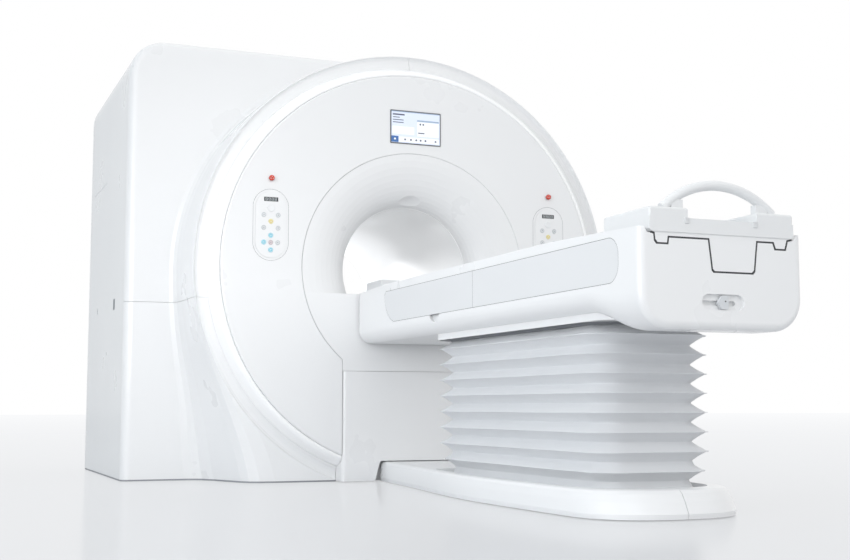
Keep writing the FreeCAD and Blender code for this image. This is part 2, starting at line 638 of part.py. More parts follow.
def table_frame():
    """Welded chassis: hollow neck inside the bellows, crosshead over the lift column."""
    foot = BELLOWS_TOP + BELLOWS_PITCH / 2 - 1
    low = BODY_BOTTOM + SKIN + 2
    beam_x = BODY_X - 56
    neck = Part.Face(bellows_section(foot, FOLD_DEPTH)).extrude(V(0, 0, low - foot))
    rim = block(-beam_x, beam_x, BELLOWS_FRONT + 14, BELLOWS_REAR - 14, low, low + 10)
    hollow = Part.Face(bellows_section(foot - 5, FOLD_DEPTH + 14)).extrude(V(0, 0, 80))
    beam = block(beam_x - 50, beam_x, BODY_NEAR + 240, BODY_FAR - 180, low, COLUMN_TOP + 10)
    head = block(-beam_x, beam_x, COLUMN_Y - 170, COLUMN_Y + 170, COLUMN_TOP, COLUMN_TOP + 10)
    ends = [block(-beam_x, beam_x, y, y + 40, low + 6, COLUMN_TOP + 10)
            for y in (BODY_NEAR + 240, BODY_FAR - 220)]
    plate = fused(neck, rim).cut(hollow)
    return fused(plate, head, beam, mirrored(beam), *ends)


# ---------------------------------------------------------------- couch
def couch_board():
    """Thin carbon couch top, dished above and bellied below, with the raised head block."""
    near = BODY_NEAR + RAIL_LENGTH + 2.0
    far = BODY_FAR + 6
    wing = WING_Z
    top = wing + 10
    dish = 16.0
    head_top = wing + 54
    half = BODY_X - 32
    keel = 40.0
    edges = [
        line(V(-half, near, wing), V(-keel, near, KEEL_Z)),
        line(V(-keel, near, KEEL_Z), V(keel, near, KEEL_Z)),
        line(V(keel, near, KEEL_Z), V(half, near, wing)),
        line(V(half, near, wing), V(half, near, top)),
        line(V(half, near, top), V(half - 48, near, top)),
        arc(V(half - 48, near, top), V(0, near, top - dish), V(48 - half, near, top)),
        line(V(48 - half, near, top), V(-half, near, top)),
        line(V(-half, near, top), V(-half, near, wing)),
    ]
    board = Part.Face(Part.Wire(edges)).extrude(V(0, far - near, 0))
    head = block(-275, 275, far - 214, far, wing, head_top)
    head = rounded(head, 6.0, lambda e: e.BoundBox.ZMin > head_top - 1)
    dip = Part.makeCylinder(330, 600, V(0, far - 300, head_top + 330 - 34), V(0, 1, 0))
    return fused(board, head.cut(dip))


def couch_trolley():
    """Carriage at the foot end: its two feet and its centre tab run in the table's groove."""
    near = BODY_NEAR
    middle = BODY_NEAR + RAIL_LENGTH
    far = middle + 150
    body = prism_y(running_profile(RUN_GAP), near, far)
    body = body.cut(block(-BODY_X, BODY_X, near - 5, middle + 1, CARRIER_Z, TRAY_Z))
    return body.cut(block(-BODY_X, BODY_X, middle + 1, far + 5, KEEL_Z, TRAY_Z))


def couch_end_rail():
    """Tray at the foot end: a raised block each side, a low lip between them."""
    near = BODY_NEAR - 4
    far = BODY_NEAR + RAIL_LENGTH
    low = CARRIER_Z
    half = BODY_X - 37

    def soft(edge):
        box = edge.BoundBox
        return box.ZMin > TRAY_Z - 1 or (box.ZLength > 50 and box.XMin > half - 1 and box.YMax < near + 1)
    floor = block(-half, half, near, far, low, WING_Z)
    lip = block(-half, half, near, near + 34, low, TRAY_Z - 34)
    arm = rounded(block(135, half, near, far, low, TRAY_Z), 9.0, soft)
    arm = arm.cut(block(160, half - 19, near + 60, far - 20, TRAY_Z - 37, TRAY_Z + 8))
    rail = fused(floor, lip, arm, mirrored(arm))
    chamfer = prism_y([(half - 15, low - 5), (half + 9, low - 5), (half + 9, low + 15)], near - 5, far + 5)
    return rail.cut(chamfer).cut(mirrored(chamfer))


def couch_handle():
    """Arched grab handle across the foot end."""
    y = BODY_NEAR + 26
    foot = TRAY_Z
    spine = arc(V(-214, y, foot), V(0, y, foot + 85), V(214, y, foot))
    start = spine.valueAt(spine.FirstParameter)
    tangent = spine.tangentAt(spine.FirstParameter)
    ring = Part.Wire(Part.makeCircle(17, start, tangent))
    bar = Part.Wire(spine).makePipeShell([ring], True, True)
    posts = [block(side * 165 - 22, side * 165 + 22, y - 14, y + 14, foot, foot + 28) for side in (-1, 1)]
    clip = block(-300, 300, y - 60, y + 60, foot, foot + 200)
    return fused(bar, *posts).common(clip)


def end_latch():
    """Lock slider in the end face; its stem runs in the slot."""
    x = -5.0
    mid = LATCH_Z - 1.5
    knob = prism_y([(x - 20, mid), (x - 6, mid + 22.5), (x + 20, mid + 22.5), (x + 20, mid - 22.5),
                    (x - 6, mid - 22.5)], BODY_NEAR - 3, BODY_NEAR + 9)
    knob = rounded(knob, 5.0, lambda e: e.BoundBox.YLength > 10)
    stem = slot_x(x - 1, LATCH_Z - 3, 24, 15, BODY_NEAR + 9, BODY_NEAR + 21)
    return fused(knob, stem)


# ---------------------------------------------------------------- lift and bellows
def ringed_outline(x, y0, y1, r, z):
    """Rounded rectangle lying flat at height z."""
    h = r * (1 - math.sqrt(0.5))
    corners = []
    for sx, sy, yy in ((1, 1, y0), (1, -1, y1), (-1, -1, y1), (-1, 1, y0)):
        a = V(sx * (x - r), yy, z)
        b = V(sx * (x - h), yy + sy * h, z)
        c = V(sx * x, yy + sy * r, z)
        corners.append((a, b, c) if sx * sy > 0 else (c, b, a))
    edges = []
    for i, (a, b, c) in enumerate(corners):
        edges.append(arc(a, b, c))
        edges.append(line(c, corners[(i + 1) % 4][0]))
    return Part.Wire(edges)


def ringed(x, y0, y1, r, z0, z1):
    return Part.Face(ringed_outline(x, y0, y1, r, z0)).extrude(V(0, 0, z1 - z0))


def bellows_section(z, inset):
    """Plan of the bellows, shrunk by inset."""
    return ringed_outline(BELLOWS_X - inset, BELLOWS_FRONT + inset, BELLOWS_REAR - inset, BELLOWS_R - inset, z)


def bellows():
    """Concertina cover: crests BELLOWS_PITCH apart, folded inwards between them."""
    lowest = BELLOWS_TOP - BELLOWS_PITCH * (BELLOWS_FOLDS - 1)
    half = BELLOWS_PITCH / 2
    rows = [(TUB_Z + 0.5, FOLD_DEPTH - 14), (TUB_Z + 8, FOLD_DEPTH - 14), (lowest - half, FOLD_DEPTH)]
    for fold in range(BELLOWS_FOLDS):
        crest = lowest + fold * BELLOWS_PITCH
        rows += [(crest - 4, 3.0), (crest, 0.0), (crest + 4, 3.0), (crest + half, FOLD_DEPTH)]
    rows[-1] = (BELLOWS_TOP + half - 1, FOLD_DEPTH)
    outer = Part.makeLoft([bellows_section(z, d) for z, d in rows], True, True)
    inner = Part.makeLoft([bellows_section(z, d + BELLOWS_WALL * 1.4) for z, d in rows], True, True)
    return outer.cut(inner)


def column_stage(index, raised):
    """Square telescopic tube; stage 0 is bolted down, each next one slides inside the last."""
    half = COLUMN_HALF - index * (COLUMN_WALL + COLUMN_FIT)
    z0 = COLUMN_FOOT + index * COLUMN_STEP + raised
    z1 = z0 + COLUMN_LENGTH
    tube = block(-half, half, COLUMN_Y - half, COLUMN_Y + half, z0, z1)
    tube = rounded(tube, 14.0 - 3 * index, lambda e: e.BoundBox.ZLength > 300)
    bore = half - COLUMN_WALL
    hole = block(-bore, bore, COLUMN_Y - bore, COLUMN_Y + bore, z0 - 1, z1 + 1)
    hole = rounded(hole, 8.0 - 2 * index, lambda e: e.BoundBox.ZLength > 300)
    return tube.cut(hole)


def lift_column_outer():
    """Fixed tube on the floor plate."""
    plate = block(-270, 270, BELLOWS_FRONT + 75, BELLOWS_REAR - 75, 0, COLUMN_FOOT)
    column = column_stage(0, 0.0)
    rib = prism_y([(COLUMN_HALF, 12), (COLUMN_HALF + 70, 12), (COLUMN_HALF, 150)], COLUMN_Y - 6, COLUMN_Y + 6)
    return fused(plate, column, rib, mirrored(rib))


def lift_drive():
    """Gear motor lying beside the column."""
    y = COLUMN_Y + 330
    motor = Part.makeCylinder(58, 230, V(-150, y, 84), V(1, 0, 0))
    gearbox = block(80, 180, y - 75, y + 75, 12, 158)
    foot = block(-150, 80, y - 50, y + 50, 12, 40)
    return fused(motor, gearbox, foot)


# ---------------------------------------------------------------- base
# Half plan of the base: distance along Y and half width, from the gantry to the nose.
BASE_PLAN = [(-1560.0, 244.0), (-2150.0, 318.0), (-2680.0, 332.0), (-3150.0, 318.0), (-3310.0, 291.0),
             (-3400.0, 214.0)]
BASE_END = FACE_Y + 30.0
BASE_END_X = 184.0
NOSE_Y = -3452.0


def base_half(z, inset, nose):
    """Right half of the boat-shaped plan, shrunk by inset at the side and by nose more at the front."""
    points = [V(BASE_END_X - inset, BASE_END, z)]
    for y, x in BASE_PLAN:
        near = max(0.0, (-2900.0 - y) / 552.0)
        points.append(V(x - inset - 0.35 * nose * near, y + nose * near, z))
    points.append(V(0, NOSE_Y + inset + nose, z))
    side = spline(points, V(0.10, -1, 0), V(-1, 0, 0))
    return Part.Wire([line(V(0, BASE_END, z), points[0]), side, line(points[-1], V(0, BASE_END, z))])


def base_solid(rows):
    return Part.makeLoft([base_half(z, inset, nose) for z, inset, nose in rows], True, True)


def base_cover_right():
    """Right half of the plinth: drafted wall, rolled rim, tub for the bellows and hollow underneath."""
    outer = base_solid([(BASE_FOOT, 3, 3), (20, 0, 4), (60, 3, 22), (BASE_TOP - 14, 7, 36),
                        (BASE_TOP - 4, 13, 43), (BASE_TOP, 24, 52)])
    tub = base_solid([(TUB_Z, 52, 96), (BASE_TOP + 20, 44, 92)])
    tub = tub.common(block(-1, 400, -4000, BELLOWS_REAR + 60, 0, 300))
    under = base_solid([(-20, 12, 20), (TUB_Z - SKIN, 24, 60)])
    well = block(-5, BELLOWS_X - 43, BELLOWS_FRONT + 65, BELLOWS_REAR - 65, -10, 200)
    split = block(-5, 1, -4000, 0, -30, 300)
    return outer.cut(tub).cut(under).cut(well).cut(split)


# ---------------------------------------------------------------- build
def build():
    save("magnet_vessel", magnet_vessel())
    save("cold_head", cold_head())
    save("gradient_coil", tube_y(VESSEL_BORE - 2.0, 378.0, -580.0, 740.0))
    save("bore_liner", tube_y(BORE_R + 8.0, BORE_R, -LINER_Y + 1, LINER_Y - 1))
    save("couch_bridge", couch_bridge())
    upper, lower_left, lower_right = front_covers()
    save("front_cover_upper", upper)
    save("front_cover_lower_left", lower_left)
    save("front_cover_lower_right", lower_right)
    save("ring_rim", ring_rim())
    save("front_disc", front_disc())
    save("bore_funnel", bore_funnel())
    save("docking_panel", docking_panel())
    side_left, side_right = side_covers()
    save("side_cover_left", side_left)
    save("side_cover_right", side_right)
    save("rear_cover", rear_cover())
    save("rear_funnel", rear_funnel())
    save("screen_bezel", screen_bezel())
    save("screen_glass", screen_glass())
    for side, label in ((-1, "left"), (1, "right")):
        save("keypad_plate_" + label, keypad_plate(side))
        save("emergency_stop_" + label, emergency_stop(side))
        save("side_panel_" + label, side_panel(side))
        for name, dx, dz, radius in KEYS:
            save("key_" + name + "_" + label, key(side, dx, dz, radius))
    save("base_cover_right", base_cover_right())
    save("base_cover_left", mirrored(base_cover_right()))
    save("lift_column_outer", lift_column_outer())
    save("lift_column_middle", column_stage(1, LIFT / 2))
    save("lift_column_inner", column_stage(2, LIFT))
    save("lift_drive", lift_drive())
    save("bellows", bellows())
    save("table_cover", table_cover())
    save("table_frame", table_frame())
    save("couch_board", couch_board())
    save("couch_trolley", couch_trolley())
    save("couch_end_rail", couch_end_rail())
    save("couch_handle", couch_handle())
    save("end_latch", end_latch())


build()
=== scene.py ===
# %% [markdown]
# # A body scanner and its patient table
# The object is a big white housing with a round bore, and a table that stands docked in front
# of it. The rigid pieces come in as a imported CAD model, already in metres and in their places.
# Blender adds what CAD leaves out: the soft bellows under the table, the small marks and
# displays, the fine finish of every surface, the studio and the camera.

import json
import math

import bmesh
import bpy
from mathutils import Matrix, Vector


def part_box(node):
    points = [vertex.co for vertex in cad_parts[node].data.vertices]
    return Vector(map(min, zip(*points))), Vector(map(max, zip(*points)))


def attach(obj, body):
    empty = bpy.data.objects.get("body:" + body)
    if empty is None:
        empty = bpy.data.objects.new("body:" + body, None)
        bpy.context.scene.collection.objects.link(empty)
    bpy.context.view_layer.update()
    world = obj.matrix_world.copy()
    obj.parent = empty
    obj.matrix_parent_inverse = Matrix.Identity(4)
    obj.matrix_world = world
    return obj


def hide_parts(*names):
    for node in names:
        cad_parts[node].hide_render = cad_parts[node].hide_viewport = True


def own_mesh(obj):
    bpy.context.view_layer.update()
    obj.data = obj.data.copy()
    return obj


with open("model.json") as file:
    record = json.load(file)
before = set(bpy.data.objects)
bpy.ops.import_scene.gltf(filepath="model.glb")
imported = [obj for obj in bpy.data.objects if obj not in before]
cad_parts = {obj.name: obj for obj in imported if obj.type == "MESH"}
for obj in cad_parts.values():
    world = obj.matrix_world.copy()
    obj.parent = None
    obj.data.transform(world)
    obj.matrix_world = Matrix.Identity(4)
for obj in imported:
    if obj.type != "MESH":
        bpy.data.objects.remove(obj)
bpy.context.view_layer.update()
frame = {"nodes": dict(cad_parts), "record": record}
nodes = frame["nodes"]
slots = {part["node"]: part["material_slot"] for part in frame["record"]["subparts"]}

# %% [markdown]
# ## Helpers for modelling as by hand
# An operator works on whatever is selected, so each piece starts from nothing selected. The
# second helper closes a piece: it gives it a name and a finish, lets it ride on the body that
# carries it, and moves its place into its mesh, so that the object itself sits at the origin.


# %% Start a piece, finish a piece
def clear_selection():
    if bpy.context.object and bpy.context.object.mode == "EDIT":
        bpy.ops.object.mode_set(mode="OBJECT")
    bpy.ops.object.select_all(action="DESELECT")


def finish_piece(name, finish, body, smooth=40.0):
    if bpy.context.object.mode == "EDIT":
        bpy.ops.object.mode_set(mode="OBJECT")
    piece = bpy.context.object
    bpy.ops.object.transform_apply(location=True, rotation=True, scale=True)
    bpy.ops.object.shade_smooth_by_angle(angle=math.radians(smooth))
    piece.name = name
    piece.data.name = name
    if finish is not None:
        piece.data.materials.clear()
        piece.data.materials.append(finish)
    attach(piece, body)
    return piece


def apply_modifier(kind, **settings):
    piece = bpy.context.object
    modifier = piece.modifiers.new(kind.title(), kind)
    for key, value in settings.items():
        setattr(modifier, key, value)
    bpy.ops.object.modifier_apply(modifier=modifier.name)


def select_where(test):
    """In edit mode: selects the faces for which test(face) is true."""
    mesh = bmesh.from_edit_mesh(bpy.context.object.data)
    for item in list(mesh.verts) + list(mesh.edges) + list(mesh.faces):
        item.select = False
    for face in mesh.faces:
        if test(face):
            face.select_set(True)
    bmesh.update_edit_mesh(bpy.context.object.data)


def select_points(test):
    """In edit mode: selects the vertices for which test(vertex) is true."""
    mesh = bmesh.from_edit_mesh(bpy.context.object.data)
    for vertex in mesh.verts:
        vertex.select = test(vertex)
    mesh.select_flush_mode()
    bmesh.update_edit_mesh(bpy.context.object.data)


def add_block(low, high, round_by=0.0, steps=2):
    """A box between two corners with softly rounded edges."""
    clear_selection()
    centre = [(a + b) / 2 for a, b in zip(low, high)]
    bpy.ops.mesh.primitive_cube_add(size=1.0, location=centre)
    bpy.context.object.scale = [b - a for a, b in zip(low, high)]
    bpy.ops.object.transform_apply(location=True, rotation=True, scale=True)
    if round_by:
        apply_modifier("BEVEL", width=round_by, segments=steps, limit_method="ANGLE")
    return bpy.context.object


def add_disc(x, y, z, radius, depth, round_by=0.0, sides=32):
    """A short cylinder whose flat face looks along Y, with a softened front edge."""
    clear_selection()
    bpy.ops.mesh.primitive_cylinder_add(vertices=sides, radius=radius, depth=depth,
                                        location=(x, y, z), rotation=(math.pi / 2, 0, 0))
    bpy.ops.object.transform_apply(location=True, rotation=True, scale=True)
    if round_by:
        apply_modifier("BEVEL", width=round_by, segments=2, limit_method="ANGLE")
    return bpy.context.object


def add_ring(x, y, z, radius, thickness, sides=40):
    """A thin ring whose axis is Y."""
    clear_selection()
    bpy.ops.mesh.primitive_torus_add(major_radius=radius, minor_radius=thickness, major_segments=sides,
                                     minor_segments=8, location=(x, y, z), rotation=(math.pi / 2, 0, 0))
    bpy.ops.object.transform_apply(location=True, rotation=True, scale=True)
    return bpy.context.object


def front_of(node):
    """The middle of a node's front face: x, y and z."""
    low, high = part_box(node)
    return (low[0] + high[0]) / 2, low[1], (low[2] + high[2]) / 2


def join_pieces(pieces):
    clear_selection()
    for piece in pieces:
        piece.select_set(True)
    bpy.context.view_layer.objects.active = pieces[0]
    if len(pieces) > 1:
        bpy.ops.object.join()
    return bpy.context.object


# %% [markdown]
# ## Finish groups
# White mouldings look dull when they are one flat colour. Close up they have the faint waviness
# of sprayed lacquer, and their gloss changes a little from place to place. Both effects are made
# once, as node groups with named inputs, and every material places them with its own values.


# %% A node group with named sockets
def new_group(name, inputs, outputs):
    group = bpy.data.node_groups.new(name, "ShaderNodeTree")
    for label, kind, value in inputs:
        socket = group.interface.new_socket(name=label, in_out="INPUT", socket_type=kind)
        if value is not None:
            socket.default_value = value
    for label, kind in outputs:
        group.interface.new_socket(name=label, in_out="OUTPUT", socket_type=kind)
    return group, group.nodes.new("NodeGroupInput"), group.nodes.new("NodeGroupOutput")


def noise(group, vector, scale, detail=3.0, rough=0.5):
    node = group.nodes.new("ShaderNodeTexNoise")
    node.inputs["Detail"].default_value = detail
    node.inputs["Roughness"].default_value = rough
    if isinstance(scale, float):
        node.inputs["Scale"].default_value = scale
    else:
        group.links.new(scale, node.inputs["Scale"])
    group.links.new(vector, node.inputs["Vector"])
    return node.outputs["Fac"]


def spread(group, factor, low, high):
    """Maps a 0 to 1 factor onto low to high; either end may be a socket."""
    node = group.nodes.new("ShaderNodeMapRange")
    group.links.new(factor, node.inputs["Value"])
    for label, value in (("To Min", low), ("To Max", high)):
        if isinstance(value, float):
            node.inputs[label].default_value = value
        else:
            group.links.new(value, node.inputs[label])
    return node.outputs["Result"]


# %% Lacquer: fine waviness, uneven gloss and a trace of tone
lacquer, g_in, g_out = new_group(
    "lacquer",
    [("Vector", "NodeSocketVector", None), ("Peel Scale", "NodeSocketFloat", 260.0),
     ("Gloss Low", "NodeSocketFloat", 0.25), ("Gloss High", "NodeSocketFloat", 0.35),
     ("Colour", "NodeSocketColor", (0.8, 0.8, 0.8, 1.0)), ("Shade", "NodeSocketColor", (0.7, 0.7, 0.7, 1.0))],
    [("Colour", "NodeSocketColor"), ("Roughness", "NodeSocketFloat"), ("Height", "NodeSocketFloat")])
peel = noise(lacquer, g_in.outputs["Vector"], g_in.outputs["Peel Scale"], 2.0)
clouds = noise(lacquer, g_in.outputs["Vector"], 2.4, 4.0)
lacquer.links.new(spread(lacquer, clouds, g_in.outputs["Gloss Low"], g_in.outputs["Gloss High"]),
                  g_out.inputs["Roughness"])
tone = lacquer.nodes.new("ShaderNodeMix")
tone.data_type = "RGBA"
patches = noise(lacquer, g_in.outputs["Vector"], 1.1, 2.0)
lacquer.links.new(spread(lacquer, patches, 0.0, 0.35), tone.inputs["Factor"])
lacquer.links.new(g_in.outputs["Colour"], tone.inputs["A"])
lacquer.links.new(g_in.outputs["Shade"], tone.inputs["B"])
lacquer.links.new(tone.outputs["Result"], g_out.inputs["Colour"])
lacquer.links.new(peel, g_out.inputs["Height"])

# %% Coated cloth: a small leather-like grain and patches of tone and gloss
coated, g_in, g_out = new_group(
    "coated cloth",
    [("Vector", "NodeSocketVector", None), ("Grain Scale", "NodeSocketFloat", 700.0),
     ("Colour", "NodeSocketColor", (0.6, 0.6, 0.6, 1.0)), ("Shade", "NodeSocketColor", (0.5, 0.5, 0.5, 1.0))],
    [("Colour", "NodeSocketColor"), ("Roughness", "NodeSocketFloat"), ("Height", "NodeSocketFloat")])
cells = coated.nodes.new("ShaderNodeTexVoronoi")
coated.links.new(g_in.outputs["Vector"], cells.inputs["Vector"])
coated.links.new(g_in.outputs["Grain Scale"], cells.inputs["Scale"])
handled = noise(coated, g_in.outputs["Vector"], 5.0, 5.0, 0.6)
tone = coated.nodes.new("ShaderNodeMix")
tone.data_type = "RGBA"
coated.links.new(spread(coated, handled, 0.0, 0.7), tone.inputs["Factor"])
coated.links.new(g_in.outputs["Colour"], tone.inputs["A"])
coated.links.new(g_in.outputs["Shade"], tone.inputs["B"])
coated.links.new(tone.outputs["Result"], g_out.inputs["Colour"])
coated.links.new(spread(coated, handled, 0.42, 0.58), g_out.inputs["Roughness"])
coated.links.new(cells.outputs["Distance"], g_out.inputs["Height"])

# %% Drawn metal: fine lines along one direction
drawn, g_in, g_out = new_group(
    "drawn metal",
    [("Vector", "NodeSocketVector", None), ("Line Scale", "NodeSocketFloat", 300.0)],
    [("Roughness", "NodeSocketFloat"), ("Height", "NodeSocketFloat")])
stretch = drawn.nodes.new("ShaderNodeMapping")
stretch.inputs["Scale"].default_value = (1.0, 1.0, 0.02)
drawn.links.new(g_in.outputs["Vector"], stretch.inputs["Vector"])
lines = noise(drawn, stretch.outputs["Vector"], g_in.outputs["Line Scale"], 2.0)
drawn.links.new(spread(drawn, lines, 0.28, 0.5), g_out.inputs["Roughness"])
drawn.links.new(lines, g_out.inputs["Height"])

# %% [markdown]
# ## Materials
# Each finish is one Principled BSDF. What is the same all over, such as the coat or the sheen,
# is set on the shader itself, and only what changes over the surface comes from a group.


# %% Build a material round a finish group
def start_material(name):
    material = bpy.data.materials.new(name)
    material.use_nodes = True
    tree = material.node_tree
    tree.nodes.clear()
    shader = tree.nodes.new("ShaderNodeBsdfPrincipled")
    output = tree.nodes.new("ShaderNodeOutputMaterial")
    tree.links.new(shader.outputs["BSDF"], output.inputs["Surface"])
    place = tree.nodes.new("ShaderNodeTexCoord")
    return material, tree, shader, place.outputs["Object"]


def use_group(tree, shader, place, group, relief, **values):
    """Places a group in a material and wires up whatever it puts out."""
    node = tree.nodes.new("ShaderNodeGroup")
    node.node_tree = group
    tree.links.new(place, node.inputs["Vector"])
    for label, value in values.items():
        node.inputs[label.replace("_", " ")].default_value = value
    for out, target in (("Colour", "Base Color"), ("Roughness", "Roughness")):
        if out in node.outputs:
            tree.links.new(node.outputs[out], shader.inputs[target])
    bump = tree.nodes.new("ShaderNodeBump")
    bump.inputs["Distance"].default_value = relief
    bump.inputs["Strength"].default_value = 0.5
    tree.links.new(node.outputs["Height"], bump.inputs["Height"])
    tree.links.new(bump.outputs["Normal"], shader.inputs["Normal"])
    return node


def lacquered(name, colour, shade, gloss=(0.24, 0.34), coat=0.35, peel_scale=260.0, relief=0.000006):
    """A moulding that wanders between two colours and two values of gloss, under a clear coat."""
    material, tree, shader, place = start_material(name)
    use_group(tree, shader, place, lacquer, relief, Peel_Scale=peel_scale, Gloss_Low=gloss[0],
              Gloss_High=gloss[1], Colour=(*colour, 1.0), Shade=(*shade, 1.0))
    shader.inputs["Coat Weight"].default_value = coat
    shader.inputs["Coat Roughness"].default_value = 0.12
    shader.inputs["Specular IOR Level"].default_value = 0.45
    return material


def plain_plastic(name, colour, rough, relief=0.00003, glow=None):
    """Uncoated plastic with a fine grain; glow is a colour and a strength."""
    material = lacquered(name, colour, [0.94 * c for c in colour], (rough, rough + 0.08), 0.0, 900.0, relief)
    if glow:
        shader = next(node for node in material.node_tree.nodes if node.type == "BSDF_PRINCIPLED")
        shader.inputs["Emission Color"].default_value = (*glow[0], 1.0)
        shader.inputs["Emission Strength"].default_value = glow[1]
    return material


def drawn_metal(name, colour):
    material, tree, shader, place = start_material(name)
    use_group(tree, shader, place, drawn, 0.00008, Line_Scale=300.0)
    shader.inputs["Base Color"].default_value = (*colour, 1.0)
    shader.inputs["Metallic"].default_value = 1.0
    return material


# %% The finishes of this machine
finishes = {
    "cover_white": lacquered("cover white", (0.845, 0.85, 0.855), (0.82, 0.827, 0.835)),
    "panel_grey": lacquered("panel grey", (0.75, 0.76, 0.77), (0.72, 0.73, 0.745), (0.3, 0.4), 0.15),
    "vessel_white": lacquered("vessel paint", (0.68, 0.69, 0.70), (0.60, 0.61, 0.63), (0.4, 0.55), 0.0),
    "steel_grey": lacquered("frame paint", (0.30, 0.31, 0.33), (0.25, 0.26, 0.28), (0.4, 0.55), 0.0, 500.0),
    "couch_grey": lacquered("couch shell", (0.70, 0.71, 0.72), (0.66, 0.67, 0.68), (0.36, 0.46), 0.1, 500.0),
    "latch_grey": lacquered("latch", (0.66, 0.68, 0.70), (0.62, 0.64, 0.66), (0.3, 0.42), 0.1, 600.0),
    "bezel_dark": plain_plastic("screen frame", (0.14, 0.145, 0.16), 0.35),
    "key_grey": plain_plastic("key grey", (0.74, 0.76, 0.77), 0.4),
    "key_white": plain_plastic("key white", (0.84, 0.85, 0.86), 0.35),
    "key_amber": plain_plastic("key amber", (0.79, 0.67, 0.24), 0.4),
    "key_blue": plain_plastic("key blue", (0.22, 0.60, 0.73), 0.4),
    "key_pink": plain_plastic("key rose", (0.72, 0.62, 0.64), 0.4),
    "coil_resin": plain_plastic("potted coil", (0.56, 0.50, 0.36), 0.6, 0.0002),
    "bare_steel": drawn_metal("bare steel", (0.56, 0.57, 0.58)),
}

# %% The red of the emergency stop: a deep gloss
red, tree, shader, place = start_material("stop red")
use_group(tree, shader, place, lacquer, 0.00003, Peel_Scale=500.0, Gloss_Low=0.16, Gloss_High=0.24,
          Colour=(0.62, 0.055, 0.03, 1.0), Shade=(0.50, 0.04, 0.025, 1.0))
shader.inputs["Coat Weight"].default_value = 0.6
finishes["stop_red"] = red

# %% The bellows: coated cloth with a soft sheen
bellows_cloth, tree, shader, place = start_material("bellows cloth")
use_group(tree, shader, place, coated, 0.00025, Grain_Scale=700.0,
          Colour=(0.735, 0.745, 0.76, 1.0), Shade=(0.68, 0.695, 0.715, 1.0))
shader.inputs["Sheen Weight"].default_value = 0.25
shader.inputs["Sheen Roughness"].default_value = 0.4
shader.inputs["Specular IOR Level"].default_value = 0.4
finishes["bellows_grey"] = bellows_cloth

# %% The screen: a lit panel behind glass
finishes["screen"] = plain_plastic("screen ground", (0.66, 0.72, 0.84), 0.08, 0.00001,
                                   ((0.78, 0.84, 0.96), 0.25))

# %% Give every CAD node its finish
# The rim round the disc gets a whiter colour and a faint glow, a painted highlight that keeps it white in its
# own shade.
# The side walls are a little greyer, a painted shade for the side that faces away from the light, and the
# couch's carriage is as white as the table.
rim_painted_glow = plain_plastic("rim white", (0.93, 0.935, 0.94), 0.25, 0.00002, ((1.0, 1.0, 1.0), 0.07))
wall_painted_shade = lacquered("wall white painted shade", (0.735, 0.75, 0.76), (0.71, 0.725, 0.735))
tray_pale = lacquered("tray pale", (0.79, 0.80, 0.805), (0.76, 0.77, 0.78), (0.3, 0.4), 0.15, 500.0)
own_finish = {
    "ring_rim": rim_painted_glow,
    "side_cover_left": wall_painted_shade,
    "side_cover_right": wall_painted_shade,
    "couch_trolley": finishes["cover_white"],
    "couch_handle": tray_pale,
    "couch_end_rail": tray_pale,
}
for name, node in nodes.items():
    node.data.materials.clear()
    node.data.materials.append(own_finish.get(name, finishes[slots[name]]))
print("finishes:", len(finishes), "shared and", len(own_finish), "nodes with their own")

# %% [markdown]
# ## The bellows
# On the real table a concertina of coated cloth hides the lift. Each fold is welded at its crest
# into a thin hem, and the flat between two crests sags a little. A rigid solid can't show that,
# so the cloth is made here: a rounded rectangle is drawn as a loop of edges, and the loop is
# pulled up row by row and drawn in and out, just as the folds run. The cloth rides on the table,
# which holds its top edge.

# %% Rows of the cloth, from the base up
bellows_low, bellows_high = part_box("bellows")
half_x = (bellows_high[0] - bellows_low[0]) / 2
half_y = (bellows_high[1] - bellows_low[1]) / 2
middle_y = (bellows_high[1] + bellows_low[1]) / 2
FOLDS = 8
PITCH = 0.0693
HALF_PITCH = PITCH / 2
CREST_TOP = bellows_high[2] - HALF_PITCH + 0.001
FOLD_DEPTH = 0.042
FOOT_DEPTH = 0.028
HEM = 0.004
SAG = 0.003

# One fold, as heights above its crest and distances in from the crest's line.
FOLD_SHAPE = [
    (-HALF_PITCH, FOLD_DEPTH),
    (-HALF_PITCH + 0.002, FOLD_DEPTH - 0.0005),
    (-PITCH / 4, FOLD_DEPTH / 2 + SAG),
    (-0.0035, 0.0045),
    (-0.0016, 0.0022),
    (-0.0014, -HEM),
    (0.0004, -HEM - 0.0006),
    (0.0014, -HEM),
    (0.0018, 0.0022),
    (0.0040, 0.0045),
    (PITCH / 4, FOLD_DEPTH / 2 + SAG),
    (HALF_PITCH - 0.002, FOLD_DEPTH - 0.0005),
]
rows = [(bellows_low[2] + 0.0005, FOOT_DEPTH), (bellows_low[2] + 0.008, FOOT_DEPTH)]
for fold in range(FOLDS):
    crest = CREST_TOP - PITCH * (FOLDS - 1 - fold)
    rows += [(crest + above, inwards) for above, inwards in FOLD_SHAPE]
print("rows of cloth:", len(rows))

# %% Draw the first loop
CORNER_CUT = 0.094
SIDE_CUTS = 15
first_z, first_in = rows[0]
clear_selection()
bpy.ops.mesh.primitive_plane_add(size=2.0, location=(0, middle_y, first_z))
bpy.context.object.scale = (half_x - first_in, half_y - first_in, 1)
bpy.ops.object.transform_apply(location=True, rotation=True, scale=True)
bpy.ops.object.mode_set(mode="EDIT")
bpy.ops.mesh.select_mode(type="VERT")
bpy.ops.mesh.select_all(action="SELECT")
bpy.ops.mesh.bevel(offset=CORNER_CUT, segments=12, affect="VERTICES")
bpy.ops.mesh.delete(type="ONLY_FACE")
loop = bmesh.from_edit_mesh(bpy.context.object.data)
for edge in loop.edges:
    edge.select = edge.calc_length() > 0.1
bmesh.update_edit_mesh(bpy.context.object.data)
bpy.ops.mesh.select_mode(type="EDGE")
bpy.ops.mesh.subdivide(number_cuts=SIDE_CUTS)
bpy.ops.mesh.select_all(action="SELECT")

